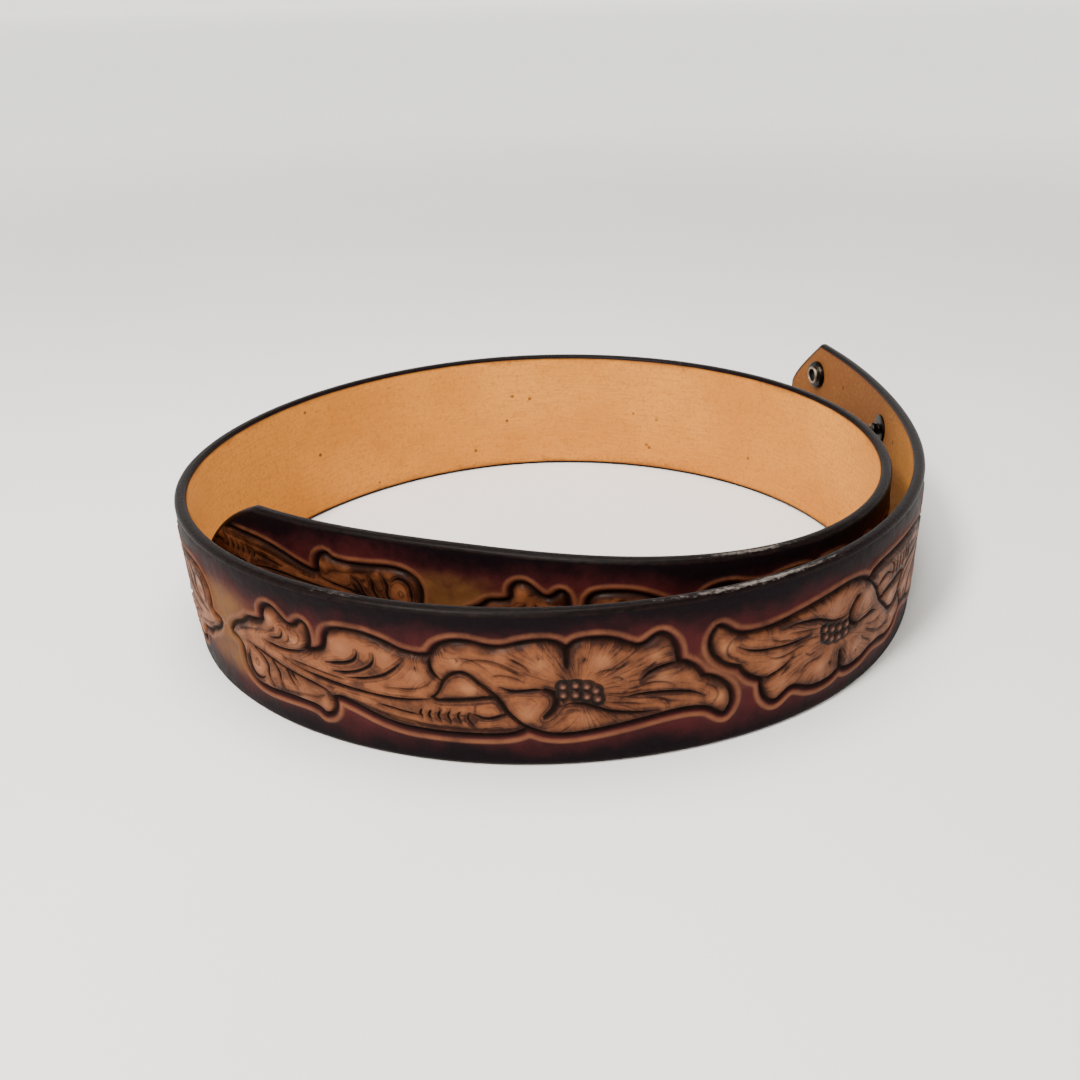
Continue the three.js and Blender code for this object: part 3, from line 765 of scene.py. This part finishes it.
def tooled_points(start, end):
    """The figures' mesh points that lie on one block of the strap."""
    laid = []
    for place, sign in FIGURES:
        low, high = sorted((place - sign * 4, place + sign * (REACH + 4)))
        if low < end and high > start:
            laid.append((place, sign))
    return [
        (np.concatenate([source * sign + [place, MIDDLE] for place, sign in laid]), gap)
        for source, gap in (FIGURE_POINTS if laid else [])
    ]


def add_grain_side(flat):
    """The grain side in blocks: one plain block is worked out once, and turned or moved to the rest."""
    starts = [0, *BLOCK_ENDS]
    ends = [*BLOCK_ENDS, STRAP_LENGTH]
    standard = None
    for start, end in zip(starts, ends):
        facing = 1 if (start - cluster_places()[0]) % REPEAT < 1 else -1
        regular = abs(end - start - REPEAT / 2) < 1 and not any(start < a < end for a, _, _ in HOLES)
        if regular and standard is not None:
            points, faces, home, home_facing = standard
            if facing == home_facing:
                laid = points + [start - home, 0]
            else:
                laid = [home + end, STRAP_WIDTH] - points
        else:
            laid, faces = filled(GRAIN_LOOP, start, end, tooled_points(start, end), PLAIN_STEP, 0.5)
            if regular:
                standard = (laid, faces, start, facing)
        flat.add(np.column_stack([laid, np.full(len(laid), LEATHER)]), faces, GRAIN)


def add_flesh_side(flat):
    points, faces = filled(FLESH_LOOP, 0, STRAP_LENGTH, [], FLESH_STEP, FLESH_STEP * 0.7)
    flat.add(np.column_stack([points, np.zeros(len(points))]), faces[:, ::-1], FLESH)


def grid_faces(rows, columns):
    """Triangles of a closed band of rings, given as rows one after another."""
    faces = []
    for r in range(rows - 1):
        for c in range(columns):
            a, b = r * columns + c, r * columns + (c + 1) % columns
            faces += [(a, b, b + columns), (a, b + columns, a + columns)]
    return faces


def add_edges(flat):
    """The rolled edge, from the flesh side round to the grain side."""
    turns = np.linspace(0, math.pi / 2, ROLL_STEPS + 1)
    profile = [(EDGE_ROLL_FLESH * (1 - math.sin(t)), EDGE_ROLL_FLESH * (1 - math.cos(t))) for t in turns]
    profile += [
        (EDGE_ROLL * (1 - math.cos(t)), LEATHER - EDGE_ROLL * (1 - math.sin(t))) for t in turns
    ]
    rings = [np.column_stack([LOOP + INWARD * inset, np.full(len(LOOP), depth)]) for inset, depth in profile]
    flat.add(np.concatenate(rings), grid_faces(len(profile), len(LOOP)), EDGE)


def add_hole_walls(flat):
    for along, up, diameter in HOLES:
        ring = hole_loop(along, up, diameter)
        walls = [np.column_stack([ring, np.full(len(ring), depth)]) for depth in (LEATHER, LEATHER / 2, 0)]
        flat.add(np.concatenate(walls), grid_faces(len(walls), len(ring)), BORE)


# Stretches at the ends where the nearest edge isn't a straight one, and how far past them it is sought
NEAR_TIP = 40
NEAR_TAB = 30
END_SPARE = 20


def edge_distance(points):
    """Distance from points (along, up) to the outline of the strap."""
    low = np.minimum(points[:, 1], STRAP_WIDTH - points[:, 1])
    near_end = (points[:, 0] < NEAR_TIP) | (points[:, 0] > STRAP_LENGTH - NEAR_TAB)
    loop = np.vstack([LOOP, LOOP[:1]])
    if near_end.any():
        tip_end, tab_start = NEAR_TIP + END_SPARE, STRAP_LENGTH - NEAR_TAB - END_SPARE
        ends = loop[(loop[:, 0] < tip_end) | (loop[:, 0] > tab_start)]
        low[near_end] = np.minimum(low[near_end], distance_to(points[near_end], ends))
    return low


def raised(flat, sides_of):
    """Lifts the grain side's corners by the tooling, and gives every corner its distances and dyes."""
    on_grain = sides_of[GRAIN]
    loose = ~sides_of[EDGE][on_grain] & ~sides_of[BORE][on_grain]
    away = edge_distance(flat[:, :2])
    fields = tooling(flat[on_grain][:, :2])
    fade = soft((away[on_grain] - EDGE_ROLL - 0.2) / 1.6) * loose
    flat[on_grain, 2] += (fields["high"] + fields["low"]) * fade
    masks = {"inset": np.minimum(away, 20), "undyed": undyed(flat), "rubbed": rubbed(flat)}
    masks["along"], masks["up"], masks["depth"] = flat[:, 0].copy(), flat[:, 1].copy(), flat[:, 2].copy()
    for name in ("rim", "deep", "light", "berry", "lump", "turn", "reach"):
        masks[name] = np.full(len(flat), float(FIELDS[name]))
        masks[name][on_grain] = fields[name]
    return masks


# Making meshes and finishes

def mesh_piece(name, corners, faces, materials, material_numbers=None, masks=None):
    mesh = bpy.data.meshes.new(name)
    mesh.vertices.add(len(corners))
    mesh.vertices.foreach_set("co", np.asarray(corners, np.float32).ravel())
    mesh.loops.add(len(faces) * 3)
    mesh.loops.foreach_set("vertex_index", np.asarray(faces, np.int32).ravel())
    mesh.polygons.add(len(faces))
    mesh.polygons.foreach_set("loop_start", np.arange(0, len(faces) * 3, 3, dtype=np.int32))
    mesh.polygons.foreach_set("use_smooth", np.ones(len(faces), bool))
    for material in materials:
        mesh.materials.append(material)
    if material_numbers is not None:
        mesh.polygons.foreach_set("material_index", np.asarray(material_numbers, np.int32))
    mesh.update(calc_edges=True)
    for mask, values in (masks or {}).items():
        attribute = mesh.attributes.new(mask, "FLOAT", "POINT")
        attribute.data.foreach_set("value", np.asarray(values, np.float32))
    mesh.validate()
    piece = bpy.data.objects.new(name, mesh)
    bpy.context.scene.collection.objects.link(piece)
    return piece


def paint(red, green, blue):
    """A colour as the eye sees it, 0 to 255, in the renderer's linear light."""
    def linear(value):
        value /= 255
        return value / 12.92 if value <= 0.04045 else ((value + 0.055) / 1.055) ** 2.4
    return (linear(red), linear(green), linear(blue), 1.0)


class Signal:
    """A socket of a finish, so that masks are worked out as plain arithmetic."""

    def __init__(self, finish, socket):
        self.finish = finish
        self.socket = socket

    def math(self, operation, *values, clamp=False):
        settings = {"operation": operation, "use_clamp": clamp}
        return self.finish.node("ShaderNodeMath", settings, dict(enumerate(values)))

    def __add__(self, other):
        return self.math("ADD", self, other)

    def __radd__(self, other):
        return self.math("ADD", other, self)

    def __sub__(self, other):
        return self.math("SUBTRACT", self, other)

    def __rsub__(self, other):
        return self.math("SUBTRACT", other, self)

    def __mul__(self, other):
        return self.math("MULTIPLY", self, other)

    def __rmul__(self, other):
        return self.math("MULTIPLY", other, self)

    def __truediv__(self, other):
        return self.math("DIVIDE", self, other)

    def __rtruediv__(self, other):
        return self.math("DIVIDE", other, self)

    def clipped(self):
        return self.math("ADD", self, 0.0, clamp=True)

    def at_least(self, other):
        return self.math("MAXIMUM", self, other)

    def hump(self, middle, half):
        """1 at a middle value, falling smoothly to 0 a half width either side of it."""
        return (1 - self.math("ABSOLUTE", (self - middle) / half)).between(0, 1)

    def between(self, low, high):
        """0 below low, 1 above high, smooth between."""
        settings = {"interpolation_type": "SMOOTHSTEP"}
        values = {"Value": self, "From Min": low, "From Max": high}
        return self.finish.node("ShaderNodeMapRange", settings, values)


class Finish:
    """One material, built node by node."""

    def __init__(self, name):
        self.material = bpy.data.materials.new(name)
        self.material.use_nodes = True
        self.tree = self.material.node_tree
        self.shader = self.tree.nodes["Principled BSDF"]

    def node(self, kind, settings=None, values=None, output=0):
        made = self.tree.nodes.new(kind)
        for key, value in (settings or {}).items():
            setattr(made, key, value)
        for key, value in (values or {}).items():
            self.feed(made.inputs[key], value)
        return Signal(self, made.outputs[output])

    def feed(self, socket, value):
        if isinstance(value, Signal):
            self.tree.links.new(value.socket, socket)
        else:
            socket.default_value = value

    def blend(self, factor, first, second):
        """A colour between two, by a factor."""
        settings = {"data_type": "RGBA"}
        return self.node("ShaderNodeMix", settings, {0: factor, 6: first, 7: second}, output=2)

    def mask(self, name):
        return self.node("ShaderNodeAttribute", {"attribute_name": name}, output="Fac")

    def place(self):
        return self.node("ShaderNodeTexCoord", output="Object")

    def noise(self, scale, detail, roughness=0.5):
        values = {"Vector": self.place(), "Scale": scale, "Detail": detail, "Roughness": roughness}
        return self.node("ShaderNodeTexNoise", None, values)

    def streaks(self, across, along, detail=2.0):
        """Noise drawn out along a surface: one value runs across the streaks, the other along them."""
        where = self.node("ShaderNodeCombineXYZ", None, {"X": across, "Y": along})
        values = {"Vector": where, "Scale": 1.0, "Detail": detail, "Roughness": 0.55}
        return self.node("ShaderNodeTexNoise", {"noise_dimensions": "2D"}, values)

    def cells(self, scale, feature="F1"):
        settings = {"feature": feature}
        return self.node("ShaderNodeTexVoronoi", settings, {"Vector": self.place(), "Scale": scale})

    def bump(self, height, distance, strength, under=None):
        values = {"Height": height, "Distance": distance, "Strength": strength}
        if under is not None:
            values["Normal"] = under
        return self.node("ShaderNodeBump", None, values)

    def finished(self, **values):
        for key, value in values.items():
            self.feed(self.shader.inputs[key.replace("_", " ").title().replace("Ior", "IOR")], value)
        return self.material


# Grain side
BORDER_DYE = paint(10, 5, 8)
MIDDLE_DYE = paint(54, 20, 21)
ANTIQUE = paint(14, 7, 5)
TOOLED_LIGHT = paint(108, 64, 38)
TOOLED_DARK = paint(42, 20, 12)
# Raised parts of the figures: antique rubbed off, with a painted highlight as well
BURNISHED_TOP_AND_HIGHLIGHT = paint(150, 98, 60)
RAISED_LINE = paint(96, 58, 38)
BERRY_BROWN = paint(52, 28, 22)
# Painted highlight on each berry's dome
BERRY_PAINTED_HIGHLIGHT = paint(128, 92, 74)
UNDYED_TAN = paint(90, 60, 32)

# Flesh side
FLESH_TAN = paint(184, 116, 38)
FLESH_WARM = paint(200, 132, 48)
FIBRE_TAN = paint(162, 100, 40)
NAP_SHADE = paint(150, 90, 36)
NAP_LIGHT = paint(214, 150, 66)
OIL_STAIN = paint(150, 88, 38)
# Painted shade over the tab's flesh side
TAB_PAINTED_SHADE = paint(96, 54, 26)
TAB_SHADED_SPAN = (868, 925)  # places between which the tab's painted shade comes in
SPECK = paint(60, 30, 16)
GRIME = paint(112, 64, 30)
DYE_BLEED = paint(44, 20, 14)

# Edges and snaps
EDGE_BLACK = paint(6, 3, 3)
EDGE_BROWN = paint(18, 9, 8)
SCUFF_GREY = paint(112, 105, 100)
METAL_BLACK = paint(24, 20, 18)
# Worn metal on the snaps' crests, which also carries a painted highlight
METAL_WORN_AND_GLINT = paint(84, 73, 62)
METAL_BRIGHT_WEAR_AND_GLINT = paint(150, 134, 116)
# Painted shade for the inside of a socket's hole
SOCKET_HOLE_PAINTED_SHADE = paint(3, 2, 2)


def tooled_leather():
    f = Finish("tooled_grain_leather")
    rim, deep, light, berry = f.mask("rim"), f.mask("deep"), f.mask("light"), f.mask("berry")
    lump, turn, reach = f.mask("lump"), f.mask("turn"), f.mask("reach")
    inset, undyed = f.mask("inset"), f.mask("undyed")
    along, up = f.mask("along"), f.mask("up")
    clouds = f.noise(30, 4) - 0.5
    mottle = f.noise(190, 5, 0.65) - 0.5
    within = rim.between(-0.3, 0.4)
    # Ground: dye laid darkest along both borders, thin where the clusters meet
    warm = ((inset / 10) * 0.8 + clouds * 1.4 + mottle * 0.7).between(0.15, 1.0)
    ground = f.blend(warm, BORDER_DYE, MIDDLE_DYE)
    bare = (undyed * (1.1 + clouds * 1.3 + mottle * 1.5)).between(0.2, 1.25)
    ground = f.blend(bare, ground, UNDYED_TAN)
    # Figures: antique stain held in every recess, rubbed off the raised parts, which also carry a painted
    # highlight
    petal = turn.between(0.5, 1.0) * (1 - turn.between(5.3, 5.8)) * (1 - reach.between(8, 34) * 0.75)
    rays = f.streaks(turn * 17, reach * 0.1).between(0.48, 0.7) * petal * reach.between(2.6, 6)
    folds = f.streaks(deep * 1.1, along * 0.05).between(0.48, 0.7) * (1 - petal * 0.7)
    hollows = deep.hump(0, 4.0) * 0.65 + rim.hump(0.5, 2.4) * 0.6 + light.hump(0, 3.0) * 0.35
    # Swellings lighter here: antique rubbed off, and partly a painted highlight
    tone = mottle * 2.0 + clouds * 0.9 - lump * 0.6 + 0.16
    stained = (hollows + rays * 0.42 + folds * 0.46 + tone).clipped()
    worked = f.blend(stained, TOOLED_LIGHT, TOOLED_DARK)
    # Swellings and mottled spots lightened: rubbed-off antique plus a painted highlight
    tops_and_highlights = (lump * 0.95 + mottle * 1.1).between(0.3, 1.05)
    worked = f.blend(tops_and_highlights * 0.42, worked, BURNISHED_TOP_AND_HIGHLIGHT)
    colour = f.blend(within, ground, worked)
    # Raised line round each figure, and the cuts themselves
    line = 1.0 - up / STRAP_WIDTH * 0.4 + mottle * 1.6 + clouds * 1.1
    line = line * rim.hump(-HALO_AWAY, 1.15) * inset.between(1.5, 5)
    colour = f.blend(line.clipped(), colour, RAISED_LINE)
    ink = rim.hump(-0.15, 1.35).between(0.0, 0.95)
    ink = ink.at_least(deep.hump(0, 1.5).between(0.0, 0.95) * within)
    ink = ink.at_least(light.hump(0, 1.2) * 0.6 * within)
    ink = ink * (1 - berry.hump(0, 2.2).between(0.0, 0.2))
    bed = (1 - berry.between(1.75, 2.3)) * within
    colour = f.blend((ink.at_least(bed) * (0.94 + mottle * 0.5)).clipped(), colour, ANTIQUE)
    colour = f.blend((1 - berry.between(0.7, 1.2)) * 0.9, colour, BERRY_BROWN)
    # Painted highlight on the top of each berry
    colour = f.blend(berry.hump(0, 0.85) * 0.55, colour, BERRY_PAINTED_HIGHLIGHT)
    pores = f.cells(1500, "DISTANCE_TO_EDGE")
    creases = f.noise(380, 4, 0.6)
    normal = f.bump(pores, 0.0001, 0.3)
    normal = f.bump(creases - (rays * 0.9 + folds * 0.5) * within, 0.0003, 0.5, normal)
    rough = 0.55 + ink * 0.15 + mottle * 0.4
    sheen = (within * 0.1 + lump * 0.2 + line.clipped() * 0.1) * (1 - ink.clipped())
    return f.finished(
        base_color=colour, roughness=rough, normal=normal, specular_ior_level=0.04,
        coat_weight=sheen.clipped(), coat_roughness=0.32,
    )


def flesh_leather():
    f = Finish("flesh_side_leather")
    along, up, inset = f.mask("along"), f.mask("up"), f.mask("inset")
    nap = f.noise(850, 6, 0.7)
    clouds = f.noise(24, 4)
    stains = f.noise(8, 3)
    fibres = f.streaks(up * 1.3, along * 0.12, 4)
    colour = f.blend(clouds.between(0.3, 0.7), FLESH_TAN, FLESH_WARM)
    colour = f.blend(fibres.between(0.45, 0.75) * 0.4, colour, FIBRE_TAN)
    colour = f.blend((1 - nap.between(0.32, 0.52)) * 0.5, colour, NAP_SHADE)
    colour = f.blend(stains.between(0.6, 0.76) * 0.45, colour, OIL_STAIN)
    # The tab's flesh side painted darker: painted shade
    tab = along.between(*TAB_SHADED_SPAN)
    colour = f.blend(tab * 0.85, colour, TAB_PAINTED_SHADE)
    specks = (1 - f.cells(150).between(0.07, 0.13)) * f.noise(31, 2).between(0.5, 0.6)
    colour = f.blend(specks * 0.8, colour, SPECK)
    colour = f.blend((nap - 0.5).between(0.0, 0.3) * 0.25, colour, NAP_LIGHT)
    bled = 1 - (inset + (fibres - 0.5) * 0.8).between(0.7, 1.9)
    colour = f.blend(bled * 0.9, colour, DYE_BLEED)
    grimed = (1 - (inset + (nap - 0.5) * 5).between(0.6, 4.0)) * f.noise(45, 3).between(0.42, 0.62)
    colour = f.blend(grimed * 0.55, colour, GRIME)
    fuzz = f.bump(nap, 0.0006, 0.6, f.bump(fibres, 0.0003, 0.3))
    return f.finished(base_color=colour, roughness=0.9, normal=fuzz, specular_ior_level=0.2)


def burnished_edge():
    f = Finish("burnished_edge")
    along, up, worn, depth = f.mask("along"), f.mask("up"), f.mask("rubbed"), f.mask("depth")
    fibres = f.streaks(along * 0.35, depth * 2.4 + up * 0.2, 4)
    grit = f.noise(900, 4, 0.65)
    colour = f.blend(fibres.between(0.3, 0.75), EDGE_BLACK, EDGE_BROWN)
    crown = depth.hump(LEATHER * 0.58, LEATHER * 0.5)
    scuffs = (worn * 0.95 * crown + (fibres - 0.5) * 1.1 + (grit - 0.5) * 1.3).between(0.42, 1.1)
    scuffs = scuffs * worn.between(0.05, 0.5)
    colour = f.blend(scuffs * 0.8, colour, SCUFF_GREY)
    rough = 0.4 + scuffs * 0.3
    normal = f.bump(grit, 0.00025, 0.4)
    return f.finished(base_color=colour, roughness=rough, normal=normal, specular_ior_level=0.06)


def antique_metal(name, dark, bright):
    """Blackened metal, worn bright on its crests, which also carry a painted highlight; a socket's hole is
    painted dark as shade: each piece gives its own masks for these.
    """
    f = Finish(name)
    tarnish = f.noise(330, 5, 0.6)
    crest_wear_and_glint, hole_shade = f.mask("crest_wear_and_glint"), f.mask("hole_shade")
    # Crests worn bright, with a painted highlight there too
    colour = f.blend((crest_wear_and_glint * 0.85 + tarnish.between(0.5, 0.75) * 0.35).clipped(), dark, bright)
    # A socket's hole painted dark and not metal: painted shade
    colour = f.blend(hole_shade, colour, SOCKET_HOLE_PAINTED_SHADE)
    rough = 0.34 + tarnish * 0.25 + hole_shade * 0.3
    pitted = f.bump(tarnish, 0.00004, 0.3)
    return f.finished(base_color=colour, metallic=1 - hole_shade, roughness=rough, normal=pitted)


def make_strap():
    flat = Flat()
    add_grain_side(flat)
    add_flesh_side(flat)
    add_edges(flat)
    add_hole_walls(flat)
    corners, faces, sides = flat.joined()
    sides_of = []
    for side in (GRAIN, EDGE, FLESH, BORE):
        touched = np.zeros(len(corners), bool)
        touched[faces[sides == side].ravel()] = True
        sides_of.append(touched)
    masks = raised(corners, sides_of)
    edge = burnished_edge()
    materials = [tooled_leather(), edge, flesh_leather(), edge]
    return mesh_piece("belt_strap", placed(corners), faces, materials, sides, masks)


def fitting_frame(along, up, turned_in):
    """Axes of a snap's piece: its own Z points away from the leather, out of the grain or flesh side."""
    here, ahead = placed(np.array([[along, up, 0.0], [along + 0.5, up, 0.0]]))
    travel = Vector(ahead - here).normalized()
    out = Vector((travel.y, -travel.x, 0))
    axis = -out if turned_in else out
    side = Vector((0, 0, 1)).cross(axis)
    start = Vector(here) + out * (0 if turned_in else LEATHER * MM)
    turn = Matrix((side, Vector((0, 0, 1)), axis)).transposed().to_4x4()
    return Matrix.Translation(start) @ turn


def turned(rows, sides):
    """Corners and faces of a round form, from rows of radius and height."""
    rings = [np.column_stack([circle(radius, sides), np.full(sides, height)]) for radius, height in rows]
    return np.concatenate(rings), np.array(grid_faces(len(rows), sides))


def arc_rows(radius, height, middle, start, end, steps):
    """Rows of a rounded stretch of a profile, by degrees round its middle."""
    turns = np.radians(np.linspace(start, end, steps))
    return [(middle[0] + radius * math.cos(t), middle[1] + height * math.sin(t)) for t in turns]


# Snap profiles: rows of radius and height over the leather, in millimetres, from axis to axis
ON_AXIS = 0.001
SOCKET_HOLE = 2.35
# Below this height a socket's hole is painted dark as shade
SOCKET_SHADE_HEIGHT = 2.2
CAP_PROFILE = [
    (ON_AXIS, 0.1), (5.9, 0.1),
    *arc_rows(0.35, 0.3, (5.85, 0.45), -90, 60, 5),
    *arc_rows(5.9, 2.0, (0, 0.55), 8, 89.9, 12),
]
SOCKET_PROFILE = [
    (ON_AXIS, 0.45), (SOCKET_HOLE - 0.1, 0.45), (SOCKET_HOLE, 0.6), (SOCKET_HOLE, 2.3),
    *arc_rows(0.42, 0.4, (SOCKET_HOLE + 0.42, 2.5), 180, 10, 7), (3.3, 2.1), (3.9, 1.9),
    *arc_rows(0.75, 0.95, (4.4, 0.95), 80, -10, 7), (5.15, 0.4), (5.1, 0.1), (ON_AXIS, 0.1),
]
STUD_PROFILE = [
    (ON_AXIS, 0.2), (1.4, 0.2), (1.4, 0.1), (4.8, 0.1),
    *arc_rows(0.3, 0.3, (4.6, 0.5), -60, 80, 5), (2.6, 0.85),
    *arc_rows(0.5, 0.5, (2.35, 1.35), -90, -180, 5), (1.75, 1.9),
    *arc_rows(0.45, 0.75, (1.68, 2.75), -60, 80, 7),
    *arc_rows(0.3, 0.2, (1.2, 3.45), 85, 180, 4), (0.85, 3.0), (ON_AXIS, 2.9),
]
EYELET_PROFILE = [
    (ON_AXIS, 0.1), (4.75, 0.1),
    *arc_rows(0.3, 0.3, (4.5, 0.45), -60, 90, 5), (2.9, 0.85), (2.2, 0.7), (1.7, 0.4), (ON_AXIS, 0.35),
]

# The four pieces of a snap: whether each faces in, from the flesh side, and the radius of its hole, painted
# dark as shade
SnapPart = namedtuple("SnapPart", "name profile along faces_in hole")
SNAP_PARTS = (
    SnapPart("snap_cap", CAP_PROFILE, SOCKET_AT, False, 0),
    SnapPart("snap_socket", SOCKET_PROFILE, SOCKET_AT, True, SOCKET_HOLE),
    SnapPart("snap_stud", STUD_PROFILE, STUD_AT, True, 0),
    SnapPart("snap_eyelet", EYELET_PROFILE, STUD_AT, False, 0),
)


def snap_piece(name, part, up, material):
    corners, faces, whole = welded(*turned(part.profile, SNAP_SIDES), 0.0001)
    out, high = np.linalg.norm(corners[:, :2], axis=1), corners[:, 2]
    # Masks: the top band of each piece, worn bright with a painted highlight, and a socket's hole, painted
    # dark as shade
    masks = {
        "crest_wear_and_glint": hump((high - high.max()) / 0.7),
        "hole_shade": (out < part.hole * 1.02) & (high < SOCKET_SHADE_HEIGHT),
    }
    piece = mesh_piece(name, corners * MM, faces[whole], [material], masks=masks)
    piece.data.transform(fitting_frame(part.along, up, part.faces_in))
    return piece


def make_snaps():
    dark = antique_metal("antique_snap_metal", METAL_BLACK, METAL_WORN_AND_GLINT)
    # The socket's crests are painted brighter still: wear and painted highlight
    bright = antique_metal("worn_and_glinting_snap_metal", METAL_BLACK, METAL_BRIGHT_WEAR_AND_GLINT)
    for row, side in (("upper", 1), ("lower", -1)):
        up = MIDDLE + side * SNAP_ROW_SPREAD / 2
        for part in SNAP_PARTS:
            node = f"{part.name}_{row}"
            piece = snap_piece(f"{node}_finished", part, up, bright if part.hole else dark)
            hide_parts(node)
            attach(piece, "root")


# Floor, light and camera

# Studio sweep: a floor that turns up into a wall all round, in metres
SWEEP_RADIUS = 12
SWEEP_RISE = 2
SWEEP_HEIGHT = 6
SWEEP_SIDES = 96
SWEEP_GLOW = (0.9, 0.895, 0.89, 1)
GLOW_FROM = 0.15
GLOW_FULL = 1.4


def make_floor():
    f = Finish("pale_sweep")
    far = f.node("ShaderNodeVectorMath", {"operation": "LENGTH"}, {0: f.place()}, output="Value")
    colour = f.blend(f.noise(6, 3).between(0.3, 0.7), paint(238, 236, 233), paint(242, 240, 238))
    glow = f.blend(far.between(GLOW_FROM, GLOW_FULL), (0, 0, 0, 1), SWEEP_GLOW)
    material = f.finished(base_color=colour, roughness=0.8, emission_color=glow, emission_strength=1.0)
    rise = arc_rows(SWEEP_RISE, SWEEP_RISE, (SWEEP_RADIUS - SWEEP_RISE, SWEEP_RISE), -90, 0, 9)
    rows = [(ON_AXIS, 0), (1, 0), (4, 0), *rise, (SWEEP_RADIUS, SWEEP_HEIGHT)]
    floor = mesh_piece("floor", *turned(rows, SWEEP_SIDES), [material])


# Lamps, all turned to the middle of the coil: place and size in metres, power in watts
Lamp = namedtuple("Lamp", "name place size power colour")
LAMPS = (
    Lamp("key", (-0.36, -0.48, 0.78), 0.2, 13.5, (1.0, 0.96, 0.9)),
    Lamp("front", (-0.3, -0.95, 0.42), 0.2, 4, (1.0, 0.94, 0.86)),
    Lamp("top", (-0.02, 0.02, 0.58), 0.3, 3, (1.0, 0.97, 0.93)),
)
LAMP_TARGET = (0, 0, 0.02)
ROOM_LIGHT = 0.46
ROOM_COLOUR = (1.0, 0.98, 0.95, 1)


def make_lamp(row):
    light = bpy.data.lights.new(row.name, "AREA")
    light.shape = "DISK"
    light.size = row.size
    light.energy = row.power
    light.color = row.colour
    lamp = bpy.data.objects.new(row.name, light)
    lamp.location = row.place
    lamp.rotation_euler = (Vector(LAMP_TARGET) - Vector(row.place)).to_track_quat("-Z", "Y").to_euler()
    bpy.context.scene.collection.objects.link(lamp)


def make_lights():
    world = bpy.data.worlds.new("studio")
    world.use_nodes = True
    background = world.node_tree.nodes["Background"]
    background.inputs["Color"].default_value = ROOM_COLOUR
    background.inputs["Strength"].default_value = ROOM_LIGHT
    bpy.context.scene.world = world
    for row in LAMPS:
        make_lamp(row)


CAMERA_LENS = 35.09
CAMERA_SHIFT = -0.0556
CAMERA_PITCH = 28.0
CAMERA_ROLL = -1.105
CAMERA_FROM_COIL = (15.56, -308.93, 170.5)  # millimetres from the coil's middle, on the floor


def make_camera():
    data = bpy.data.cameras.new("camera")
    data.lens = CAMERA_LENS
    data.sensor_width = 36
    data.shift_x = CAMERA_SHIFT
    data.clip_start = 0.01
    pitch, roll = math.radians(CAMERA_PITCH), math.radians(CAMERA_ROLL)
    level_up = Vector((0, math.sin(pitch), math.cos(pitch)))
    forward = Vector((0, math.cos(pitch), -math.sin(pitch)))
    right = Vector((1, 0, 0)) * math.cos(roll) + level_up * math.sin(roll)
    up = level_up * math.cos(roll) - Vector((1, 0, 0)) * math.sin(roll)
    camera = bpy.data.objects.new("camera", data)
    turn = Matrix((right, up, -forward)).transposed()
    place = Vector(CAMERA_FROM_COIL) + Vector((SHIFT[0], SHIFT[1], 0))
    camera.matrix_world = Matrix.Translation(place * MM) @ turn.to_4x4()
    bpy.context.scene.collection.objects.link(camera)
    bpy.context.scene.camera = camera


make_camera()
make_floor()
make_lights()
strap = make_strap()
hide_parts("strap")
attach(strap, "root")
make_snaps()
